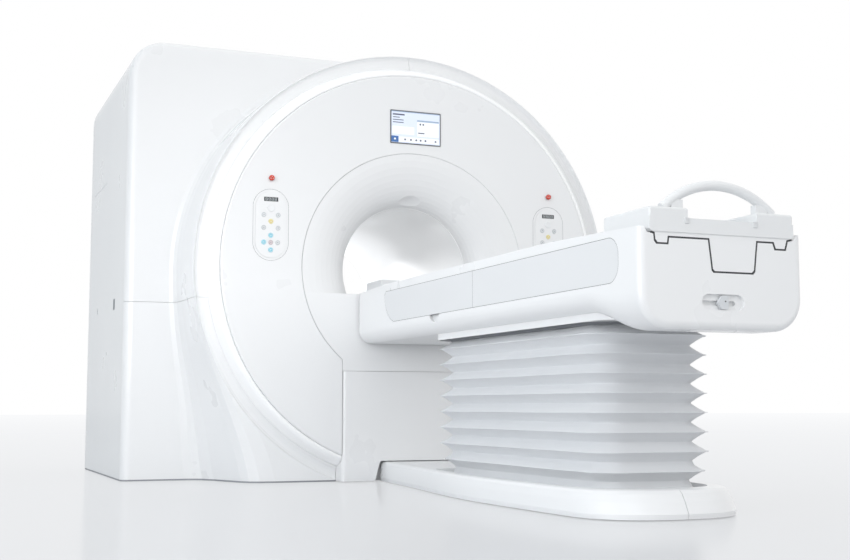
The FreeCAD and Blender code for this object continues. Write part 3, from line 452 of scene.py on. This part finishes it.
# %% Pull the loop up, row by row
for (low_z, low_in), (high_z, high_in) in zip(rows, rows[1:]):
    bpy.ops.mesh.extrude_region_move(TRANSFORM_OT_translate={"value": (0, 0, high_z - low_z)})
    bpy.ops.transform.resize(value=((half_x - high_in) / (half_x - low_in),
                                    (half_y - high_in) / (half_y - low_in), 1),
                             center_override=(0, middle_y, high_z))

# %% Draw in the lowest fold at both ends
# The tub in the base is narrower there, and this fold goes down into it with the table. The limit
# low_fold lies just above the lowest crest.
TUB_NARROWS = -2.06
NOSE_NARROWS = -3.07
DRAW_IN = (0.94, 0.992, 1)
low_fold = CREST_TOP - PITCH * (FOLDS - 1) + 0.025
bpy.ops.mesh.select_mode(type="VERT")
select_points(lambda vertex: vertex.co.z < low_fold and not NOSE_NARROWS < vertex.co.y < TUB_NARROWS)
bpy.ops.transform.resize(value=DRAW_IN, center_override=(0, middle_y, 0))
bpy.ops.mesh.select_all(action="SELECT")
bpy.ops.mesh.normals_make_consistent(inside=False)
bpy.ops.object.mode_set(mode="OBJECT")

# %% Give the cloth a slight unevenness and its thickness
slack = bpy.data.textures.new("slack", "CLOUDS")
slack.noise_scale = 0.22
apply_modifier("DISPLACE", texture=slack, strength=0.0045, mid_level=0.5, texture_coords="LOCAL")
apply_modifier("SOLIDIFY", thickness=0.0022, offset=-1.0)
bellows_skin = finish_piece("bellows_cloth", finishes["bellows_grey"], "table", 55.0)
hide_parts("bellows")
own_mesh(bellows_skin)
print("bellows faces:", len(bellows_skin.data.polygons))

# %% [markdown]
# ## The screen
# The picture on the screen is a few plain fields: headers, three pale cards, lines that stand for
# text, and a row of round icons beside a dark button. Each field is a thin plate, a hair in front
# of the one behind it, so the picture stays sharp in any size of render.

# %% Fields on the screen
screen_low, screen_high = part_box("screen_glass")
screen_w = screen_high[0] - screen_low[0]
screen_h = screen_high[2] - screen_low[2]
LAYER = 0.00035
ICON_ROW = 0.11


def screen_field(u0, v0, u1, v1, layer):
    """A plate given in shares of the screen, counted from its lower left corner."""
    front = screen_low[1] - LAYER * layer
    return add_block((screen_low[0] + u0 * screen_w, front, screen_low[2] + v0 * screen_h),
                     (screen_low[0] + u1 * screen_w, screen_low[1] + 0.0002, screen_low[2] + v1 * screen_h))


def screen_icon(u, radius):
    """A round button in the row of icons, at a share of the screen's width."""
    return add_disc(screen_low[0] + u * screen_w, screen_low[1] - 2 * LAYER,
                    screen_low[2] + ICON_ROW * screen_h, radius, depth=0.0012, sides=24)


glows = {
    "cards": plain_plastic("screen card", (0.84, 0.86, 0.88), 0.2, 0.00001, ((0.95, 0.97, 1.0), 0.22)),
    "header": plain_plastic("screen header", (0.36, 0.46, 0.60), 0.2, 0.00001, ((0.40, 0.50, 0.66), 0.12)),
    "button": plain_plastic("screen button", (0.07, 0.17, 0.42), 0.2, 0.00001, ((0.08, 0.20, 0.48), 0.12)),
    "lines": plain_plastic("screen line", (0.12, 0.13, 0.20), 0.3, 0.00001),
}
cards = [screen_field(0.02, 0.27, 0.47, 0.52, 1), screen_field(0.53, 0.24, 0.98, 0.70, 1),
         screen_field(0.16, 0.03, 0.98, 0.19, 1)]
headers = [screen_field(0.53, 0.71, 0.98, 0.76, 1), screen_field(0.0, 0.975, 1.0, 0.998, 1)]
buttons = [screen_field(0.0, 0.01, 0.145, 0.205, 1)]
marks = [screen_field(0.03, 0.87, 0.27, 0.915, 1), screen_field(0.03, 0.79, 0.17, 0.815, 1),
         screen_field(0.03, 0.71, 0.25, 0.735, 1), screen_field(0.03, 0.63, 0.25, 0.655, 1),
         screen_field(0.55, 0.33, 0.68, 0.36, 2), screen_field(0.58, 0.60, 0.61, 0.65, 2),
         screen_field(0.64, 0.60, 0.67, 0.65, 2)]
marks += [screen_icon(u, 0.0048) for u in (0.28, 0.40, 0.51, 0.60, 0.70, 0.91)]
cards.append(screen_icon(0.072, 0.0055))
for name, plates in (("cards", cards), ("header", headers), ("button", buttons), ("lines", marks)):
    join_pieces(plates)
    finish_piece("screen_" + name, glows[name], "gantry")

# %% [markdown]
# ## Keypads
# Every key carries a fine ring, and all but the dial carry a small arrow. Each pad has a dark
# window with four digits. The marks are raised by a fraction of a millimetre and ride on their own
# key, so that they go in with it.

# %% Marks on the keys
ink = plain_plastic("mark grey", (0.36, 0.38, 0.41), 0.5)
ink_pale = plain_plastic("mark white", (0.88, 0.89, 0.90), 0.4)
ARROW_TURN = {"up_outer": 0, "up_inner": 0, "mid_outer": 180, "mid_inner": 180, "blue_high": 0,
              "blue_low": 180, "low_outer": 90, "low_inner": 270, "low_centre": 0, "amber": 0}


def add_arrow(x, y, z, size, turn):
    """A thin triangle in the plane across Y; turn is in degrees."""
    clear_selection()
    bpy.ops.mesh.primitive_cylinder_add(vertices=3, radius=size, depth=0.0006, location=(x, y, z),
                                        rotation=(math.pi / 2, math.radians(turn), 0))
    bpy.ops.object.transform_apply(location=True, rotation=True, scale=True)
    apply_modifier("BEVEL", width=size * 0.12, segments=2, limit_method="ANGLE")
    return bpy.context.object


WHITE_MARKS = ("dial", "amber", "blue_high", "blue_low", "low_outer")
KEY_MARGIN = 0.002
RING_SHARE = 0.78
ARROW_SHARE = 0.36
for side, sign in (("left", -1), ("right", 1)):
    for key in ["dial"] + list(ARROW_TURN):
        node = "key_" + key + "_" + side
        x, face, z = front_of(node)
        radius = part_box(node)[1][0] - x - KEY_MARGIN
        thickness = 0.0011 if key == "dial" else 0.0007
        parts = [add_ring(x, face - 0.0001, z, radius * RING_SHARE, thickness)]
        if key != "dial":
            turn = ARROW_TURN[key] * sign if key.startswith("low") else ARROW_TURN[key]
            parts.append(add_arrow(x, face - 0.0002, z, radius * ARROW_SHARE, turn))
        join_pieces(parts)
        mark_ink = ink_pale if key in WHITE_MARKS else ink
        finish_piece("mark_" + key + "_" + side, mark_ink, node)

# %% Digits in the dark windows
SEGMENTS = [(0, 1), (0, 0), (0, -1), (-1, 0.5), (-1, -0.5), (1, 0.5), (1, -0.5)]
window_dark = plain_plastic("window dark", (0.07, 0.075, 0.08), 0.12)
digit_grey = plain_plastic("digit", (0.50, 0.53, 0.54), 0.4, 0.00002, ((0.7, 0.75, 0.75), 0.15))
WINDOW_BELOW_TOP = 0.051
WINDOW_HALF = (0.0366, 0.0106)
DIGIT_PITCH = 0.0158
DIGIT_HALF = (0.0048, 0.0066)
LYING_BAR = (0.0042, 0.0008)
STANDING_BAR = (0.0008, 0.0028)
for side in ("left", "right"):
    plate = "keypad_plate_" + side
    x, face, z = front_of(plate)
    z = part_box(plate)[1][2] - WINDOW_BELOW_TOP
    add_block((x - WINDOW_HALF[0], face + 0.0003, z - WINDOW_HALF[1]),
              (x + WINDOW_HALF[0], face + 0.0021, z + WINDOW_HALF[1]), round_by=0.0002)
    finish_piece("window_" + side, window_dark, "gantry")
    bars = []
    for digit in range(4):
        centre = x + (digit - 1.5) * DIGIT_PITCH
        for across, up in SEGMENTS:
            half_w, half_h = LYING_BAR if across == 0 else STANDING_BAR
            bar_x = centre + across * DIGIT_HALF[0]
            bar_z = z + up * DIGIT_HALF[1]
            bars.append(add_block((bar_x - half_w, face - 0.0001, bar_z - half_h),
                                  (bar_x + half_w, face + 0.0005, bar_z + half_h)))
    join_pieces(bars)
    finish_piece("digits_" + side, digit_grey, "gantry")

# %% Emergency stops: a white collar on the disc and turning marks on the head
disc_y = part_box("front_disc")[0][1]
ARROWS_OUT = 0.0062
for side in ("left", "right"):
    node = "emergency_stop_" + side
    x, face, z = front_of(node)
    add_ring(x, disc_y - 0.0004, z, radius=0.0165, thickness=0.0016, sides=48)
    finish_piece("collar_" + side, finishes["key_white"], "gantry")
    arrows = []
    for turn in (0, 120, 240):
        arrow_x = x + ARROWS_OUT * math.sin(math.radians(turn))
        arrow_z = z + ARROWS_OUT * math.cos(math.radians(turn))
        arrows.append(add_arrow(arrow_x, face - 0.0001, arrow_z, size=0.0026, turn=turn + 60))
    join_pieces(arrows)
    finish_piece("stop_arrows_" + side, ink_pale, node)

# %% [markdown]
# ## Small fittings
# The tray has two square clips on its lip and soft pads in its pockets. The side wall has a
# sunk finger pull and a round lock. All are boxes and discs with rounded edges, and a face is
# inset and pushed in wherever the real one is hollow.

# %% Clips on the lip of the tray
rail_low, rail_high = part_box("couch_end_rail")
CLIP_HALF = 0.0085
CLIP_Z = (0.969, 0.9895)
for side, x in (("left", -0.1405), ("right", 0.128)):
    add_block((x - CLIP_HALF, rail_low[1] - 0.0035, CLIP_Z[0]),
              (x + CLIP_HALF, rail_low[1] + 0.004, CLIP_Z[1]), round_by=0.0022, steps=3)
    bpy.ops.object.mode_set(mode="EDIT")
    select_where(lambda face: face.normal.y < -0.99)
    bpy.ops.mesh.inset(thickness=0.0028)
    bpy.ops.transform.translate(value=(0, 0.0012, 0))
    finish_piece("tray_clip_" + side, finishes["couch_grey"], "couch")

# %% Pads in the tray pockets
pad_cloth = plain_plastic("tray pad", (0.60, 0.63, 0.66), 0.6, 0.00008)
PAD_X = (0.1625, 0.2595)
PAD_DOWN = (0.0368, 0.033)
for side, sign in (("left", -1), ("right", 1)):
    x0, x1 = sorted(sign * x for x in PAD_X)
    add_block((x0, rail_low[1] + 0.0625, rail_high[2] - PAD_DOWN[0]),
              (x1, rail_high[1] - 0.0225, rail_high[2] - PAD_DOWN[1]), round_by=0.0015)
    bpy.ops.object.mode_set(mode="EDIT")
    select_where(lambda face: face.normal.z > 0.99)
    bpy.ops.mesh.inset(thickness=0.006)
    bpy.ops.transform.translate(value=(0, 0, -0.0008))
    finish_piece("tray_pad_" + side, pad_cloth, "couch")

# %% Finger pull and lock in the side wall
wall_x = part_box("side_cover_left")[0][0]
pull_finish = plain_plastic("pull grey", (0.24, 0.26, 0.28), 0.4)
PULL_Y = (-0.1112, -0.0528)
PULL_Z = (0.9088, 0.9672)
add_block((wall_x + 0.0006, PULL_Y[0], PULL_Z[0]), (wall_x + 0.0049, PULL_Y[1], PULL_Z[1]), round_by=0.0012)
bpy.ops.object.mode_set(mode="EDIT")
select_where(lambda face: face.normal.x < -0.99)
bpy.ops.mesh.inset(thickness=0.009)
bpy.ops.transform.translate(value=(0.0028, 0, 0))
finish_piece("side_pull", pull_finish, "gantry")
LOCK_Y = 0.565
LOCK_Z = 0.941
SLOT_HALF = (0.0015, 0.011)
clear_selection()
bpy.ops.mesh.primitive_cylinder_add(vertices=40, radius=0.0192, depth=0.0042,
                                    location=(wall_x + 0.0027, LOCK_Y, LOCK_Z), rotation=(0, math.pi / 2, 0))
bpy.ops.object.transform_apply(location=True, rotation=True, scale=True)
apply_modifier("BEVEL", width=0.0009, segments=3, limit_method="ANGLE")
lock_body = bpy.context.object
lock_slot = add_block((wall_x + 0.0002, LOCK_Y - SLOT_HALF[0], LOCK_Z - SLOT_HALF[1]),
                      (wall_x + 0.0012, LOCK_Y + SLOT_HALF[0], LOCK_Z + SLOT_HALF[1]), round_by=0.0002)
lock_slot.data.materials.append(window_dark)
lock_body.data.materials.append(finishes["latch_grey"])
join_pieces([lock_body, lock_slot])
finish_piece("side_lock", None, "gantry")

# %% [markdown]
# ## Seams and seals
# Two mouldings never meet in a black line. A pale bead closes the seam between disc and rim and
# the one between funnel and disc, and both are open where the docking panel comes up. A grey strip
# seals the covers to the floor, and its dark grey is a painted shadow line under them. A dark lip
# runs round the carriage in the table's groove and round the side panels, and a thin dark bead runs
# round each keypad: all three are painted shadow lines where the real gaps lie in shade. The strips
# are made from the CAD faces that they follow: a face is copied, and then pulled out or thickened.

# %% Beads in the two round seams, open at the docking panel
bead_pale = plain_plastic("bead pale", (0.66, 0.67, 0.68), 0.45)
bead_grey = plain_plastic("bead grey", (0.50, 0.51, 0.52), 0.45)
# The dark bead paints the shadow line round the keypads.
bead_painted_shadow = plain_plastic("bead painted shadow", (0.22, 0.23, 0.24), 0.45)
AXIS_Z = 1.095
DOCK_HALF = 0.4016


def open_ring(test):
    """Takes out the faces of a ring for whose middle test(middle) is true, and closes its ends."""
    bpy.ops.object.mode_set(mode="EDIT")
    select_where(lambda face: test(face.calc_center_median()))
    bpy.ops.mesh.delete(type="FACE")
    bpy.ops.mesh.select_all(action="SELECT")
    bpy.ops.mesh.fill_holes(sides=0)


for name, radius, thickness, back, bead in (("disc_bead", 1.0409, 0.0007, 0.0125, bead_pale),
                                            ("funnel_bead", 0.6200, 0.0009, 0.0042, bead_grey)):
    add_ring(0.0, disc_y + back, AXIS_Z, radius, thickness, sides=320)
    open_ring(lambda middle: middle.z < AXIS_Z and abs(middle.x) < DOCK_HALF)
    finish_piece(name, bead, "gantry")

# %% Painted highlight where the bore's tube meets the funnel: a glowing ring, open for the couch
COUCH_TOP = 0.985
TUBE_R = 0.3548
joint_y = max(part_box("bore_liner")[0][1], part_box("bore_funnel")[1][1])
print("tube and funnel meet at y =", joint_y)
add_ring(0.0, joint_y + 0.002, AXIS_Z, TUBE_R, thickness=0.0024, sides=200)
open_ring(lambda middle: middle.z < COUCH_TOP)
finish_piece("liner_painted_highlight", rim_painted_glow, "gantry")


# %% Copy the faces that a strip follows
def copy_faces(node, test):
    """A new piece from a copy of the node's faces for which test(face) is true; stays in edit mode."""
    clear_selection()
    piece = bpy.data.objects.new("copy", nodes[node].data.copy())
    bpy.context.scene.collection.objects.link(piece)
    piece.select_set(True)
    bpy.context.view_layer.objects.active = piece
    bpy.ops.object.mode_set(mode="EDIT")
    bpy.ops.mesh.select_mode(type="FACE")
    bpy.ops.mesh.select_all(action="SELECT")
    bpy.ops.mesh.remove_doubles(threshold=0.00001)
    select_where(lambda face: not test(face))
    bpy.ops.mesh.delete(type="FACE")
    bpy.ops.mesh.select_all(action="SELECT")
    return piece


# %% Strip between the covers and the floor: a seal whose dark grey is a painted shadow line
foot_seal_shadow_grey = plain_plastic("foot strip", (0.30, 0.31, 0.33), 0.5)
STRIP_GAP = 0.0003
NEAR = 0.001
strips = []
for node in ("front_cover_lower_left", "front_cover_lower_right", "side_cover_left", "side_cover_right"):
    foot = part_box(node)[0][2]
    strips.append(copy_faces(
        node, lambda face: face.normal.z < -0.99 and face.calc_center_median().z < foot + NEAR))
    bpy.ops.transform.translate(value=(0, 0, -STRIP_GAP))
    bpy.ops.mesh.extrude_region_move(TRANSFORM_OT_translate={"value": (0, 0, 2 * STRIP_GAP - foot)})
    bpy.ops.mesh.select_all(action="SELECT")
    bpy.ops.mesh.normals_make_consistent(inside=False)
    bpy.ops.object.mode_set(mode="OBJECT")
join_pieces(strips)
foot_strip = finish_piece("foot_strip", foot_seal_shadow_grey, "gantry")
print("foot strip faces:", len(foot_strip.data.polygons))


# %% A strip round the edge of a face
def edge_strip(node, test, inward, width, top):
    """Pulls the edge of the faces inward into a band and thickens the band outwards, below top only."""
    piece = copy_faces(node, test)
    way = Vector(inward).normalized()
    bpy.ops.transform.translate(value=[0.1 * step for step in inward])
    bpy.ops.mesh.region_to_loop()
    bpy.ops.mesh.extrude_region_move(TRANSFORM_OT_translate={"value": inward})
    bpy.ops.mesh.select_mode(type="FACE")
    select_where(lambda face: abs(face.normal.dot(way)) > 0.9)
    bpy.ops.mesh.delete(type="FACE")
    bpy.ops.mesh.select_all(action="SELECT")
    bpy.ops.mesh.normals_make_consistent(inside=False)
    select_where(lambda face: face.calc_center_median().z > top)
    bpy.ops.mesh.delete(type="FACE")
    bpy.ops.object.mode_set(mode="OBJECT")
    apply_modifier("SOLIDIFY", thickness=width, offset=1.0, use_even_offset=True)
    return piece


# %% Painted shadow in the table's groove: a dark lip round the carriage
lip_painted_shadow = plain_plastic("lip painted shadow", (0.05, 0.052, 0.056), 0.5)
end_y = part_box("couch_trolley")[0][1]
edge_strip("couch_trolley", lambda face: face.normal.y < -0.99 and face.calc_center_median().y < end_y + NEAR,
           inward=(0, 0.006, 0), width=0.0056, top=rail_low[2] - 0.001)
groove_painted_shadow = finish_piece("groove_painted_shadow", lip_painted_shadow, "couch")
print("groove lip faces:", len(groove_painted_shadow.data.polygons))

# %% Painted shadow lines round the table's side panels: dark lips
for side, sign in (("left", -1), ("right", 1)):
    edge_strip("side_panel_" + side, lambda face: face.normal.x * sign > 0.9,
               inward=(-0.003 * sign, 0, 0), width=0.0014, top=rail_high[2])
    panel_painted_shadow = finish_piece("panel_painted_shadow_" + side, lip_painted_shadow, "table")
    print(panel_painted_shadow.name, "faces:", len(panel_painted_shadow.data.polygons))

# %% Painted shadow beads round the keypads: a ring whose halves are drawn apart
for side in ("left", "right"):
    plate = "keypad_plate_" + side
    x, face, z = front_of(plate)
    half_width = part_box(plate)[1][0] - x
    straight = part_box(plate)[1][2] - z - half_width
    middle = z + 0.0005
    add_ring(x, disc_y + 0.0004, z, half_width + 0.0006, thickness=0.0009, sides=64)
    bpy.ops.object.mode_set(mode="EDIT")
    bpy.ops.mesh.select_mode(type="VERT")
    select_points(lambda vertex: vertex.co.z > middle)
    bpy.ops.transform.translate(value=(0, 0, straight))
    select_points(lambda vertex: vertex.co.z < middle)
    bpy.ops.transform.translate(value=(0, 0, -straight))
    finish_piece("keypad_shadow_bead_" + side, bead_painted_shadow, "gantry")

# %% Dot on the lock slider
latch_front = front_of("end_latch")[1]
add_disc(0.0033, latch_front - 0.0002, 0.7217, radius=0.0026, depth=0.0012, round_by=0.0003, sides=24)
finish_piece("latch_dot", window_dark, "latch")

# %% [markdown]
# ## Studio
# The object stands on a pale, slightly glossy floor. Seen from the camera the floor brightens with
# distance, until it meets the white ground. The light is a bright sky, dimmer and bluer from the
# left, which gives the side wall its cool shade. Three soft lamps help it: a large one above and in
# front, a low one from the left for the table's side, and a narrow one for the front panel and the
# apron. Two small lamps inside the bore stand for the scanner's own bore light.

# %% Floor
# It glows least near the table's end, and more with distance: half of the gain is reached
# FADE_HALF metres away from there.
floor_mat, tree, shader, place = start_material("studio floor")
shader.inputs["Base Color"].default_value = (0.66, 0.67, 0.69, 1.0)
shader.inputs["Roughness"].default_value = 0.14
shader.inputs["Specular IOR Level"].default_value = 0.5
FADE_HALF = 8.0
GLOW_NEAR = 0.42
GLOW_GAIN = 0.62
near_spot = tree.nodes.new("ShaderNodeVectorMath")
near_spot.operation = "DISTANCE"
near_spot.inputs[1].default_value = (-1.0, -4.5, 0.0)
tree.links.new(place, near_spot.inputs[0])


def floor_math(operation, first, second):
    node = tree.nodes.new("ShaderNodeMath")
    node.operation = operation
    for socket, value in zip(node.inputs, (first, second)):
        if isinstance(value, float):
            socket.default_value = value
        else:
            tree.links.new(value, socket)
    return node.outputs["Value"]


distance = near_spot.outputs["Value"]
fade = floor_math("DIVIDE", distance, floor_math("ADD", distance, FADE_HALF))
glow = tree.nodes.new("ShaderNodeMix")
glow.data_type = "RGBA"
glow.inputs["A"].default_value = (0.735, 0.75, 0.77, 1.0)
glow.inputs["B"].default_value = (0.985, 0.99, 1.0, 1.0)
tree.links.new(fade, glow.inputs["Factor"])
white = tree.nodes.new("ShaderNodeEmission")
tree.links.new(glow.outputs["Result"], white.inputs["Color"])
blend = tree.nodes.new("ShaderNodeMixShader")
seen = tree.nodes.new("ShaderNodeLightPath")
strength = floor_math("ADD", floor_math("MULTIPLY", fade, GLOW_GAIN), GLOW_NEAR)
share = floor_math("MULTIPLY", strength, seen.outputs["Is Camera Ray"])
tree.links.new(share, blend.inputs["Fac"])
tree.links.new(shader.outputs["BSDF"], blend.inputs[1])
tree.links.new(white.outputs["Emission"], blend.inputs[2])
output = next(node for node in tree.nodes if node.type == "OUTPUT_MATERIAL")
tree.links.new(blend.outputs["Shader"], output.inputs["Surface"])
clear_selection()
bpy.ops.mesh.primitive_plane_add(size=120.0, location=(0, 0, 0))
floor = bpy.context.object
floor.name = "studio_floor"
floor.data.materials.append(floor_mat)

# %% Sky
world = bpy.data.worlds.new("studio sky")
bpy.context.scene.world = world
world.use_nodes = True
sky = world.node_tree
sky.nodes.clear()
direction = sky.nodes.new("ShaderNodeTexCoord")
split = sky.nodes.new("ShaderNodeSeparateXYZ")
sky.links.new(direction.outputs["Generated"], split.inputs["Vector"])
from_left = sky.nodes.new("ShaderNodeMapRange")
from_left.interpolation_type = "SMOOTHSTEP"
from_left.inputs["From Min"].default_value = -0.9
from_left.inputs["From Max"].default_value = 0.1
sky.links.new(split.outputs["X"], from_left.inputs["Value"])
tint = sky.nodes.new("ShaderNodeMix")
tint.data_type = "RGBA"
tint.inputs["A"].default_value = (0.74, 0.80, 0.85, 1.0)
tint.inputs["B"].default_value = (1.0, 1.0, 1.0, 1.0)
sky.links.new(from_left.outputs["Result"], tint.inputs["Factor"])
light = sky.nodes.new("ShaderNodeBackground")
light.inputs["Strength"].default_value = 1.0
sky.links.new(tint.outputs["Result"], light.inputs["Color"])
ground = sky.nodes.new("ShaderNodeBackground")
ground.inputs["Color"].default_value = (1.0, 1.0, 1.0, 1.0)
ground.inputs["Strength"].default_value = 1.0
path = sky.nodes.new("ShaderNodeLightPath")
choose = sky.nodes.new("ShaderNodeMixShader")
sky.links.new(path.outputs["Is Camera Ray"], choose.inputs["Fac"])
sky.links.new(light.outputs["Background"], choose.inputs[1])
sky.links.new(ground.outputs["Background"], choose.inputs[2])
sky_out = sky.nodes.new("ShaderNodeOutputWorld")
sky.links.new(choose.outputs["Shader"], sky_out.inputs["Surface"])


# %% Lamps
def add_lamp(name, kind, place, target, power):
    """A lamp that looks at its target and isn't seen itself; returns its settings."""
    clear_selection()
    bpy.ops.object.light_add(type=kind, location=place)
    lamp = bpy.context.object
    lamp.name = name
    lamp.data.energy = power
    lamp.visible_camera = False
    aim = Vector(target) - Vector(place)
    lamp.rotation_euler = aim.to_track_quat("-Z", "Y").to_euler()
    return lamp.data


front_lamp = add_lamp("lamp_front", "AREA", (-3.0, -9.0, 5.5), (-0.8, -1.0, 1.2), 60)
front_lamp.size = 4.0
low_left = add_lamp("lamp_low_left", "AREA", (-4.6, -4.8, 1.9), (-0.4, -2.3, 1.1), 25)
low_left.size = 3.0
low_left.spread = math.radians(80)
panel_lamp = add_lamp("lamp_panel", "AREA", (-2.2, -4.0, 1.1), (-1.45, -0.47, 0.95), 1.6)
panel_lamp.size = 1.0
panel_lamp.spread = math.radians(52)
for number, depth, power in ((1, 0.25, 0.9), (2, 0.85, 4.0)):
    bore_lamp = add_lamp("lamp_bore_" + str(number), "POINT", (0.0, depth, 1.2), (0.0, depth, 0.0), power)
    bore_lamp.shadow_soft_size = 0.15

# %% Camera, from where the picture was taken
clear_selection()
bpy.ops.object.camera_add(location=(-2.45521, -7.11956, 0.37922),
                          rotation=(math.radians(95.727), 0.0, math.radians(-22.164)))
camera = bpy.context.object
camera.data.sensor_width = 36.0
camera.data.lens = 53.68
camera.data.clip_end = 200.0
bpy.context.scene.camera = camera
bpy.context.scene.view_settings.view_transform = "Standard"
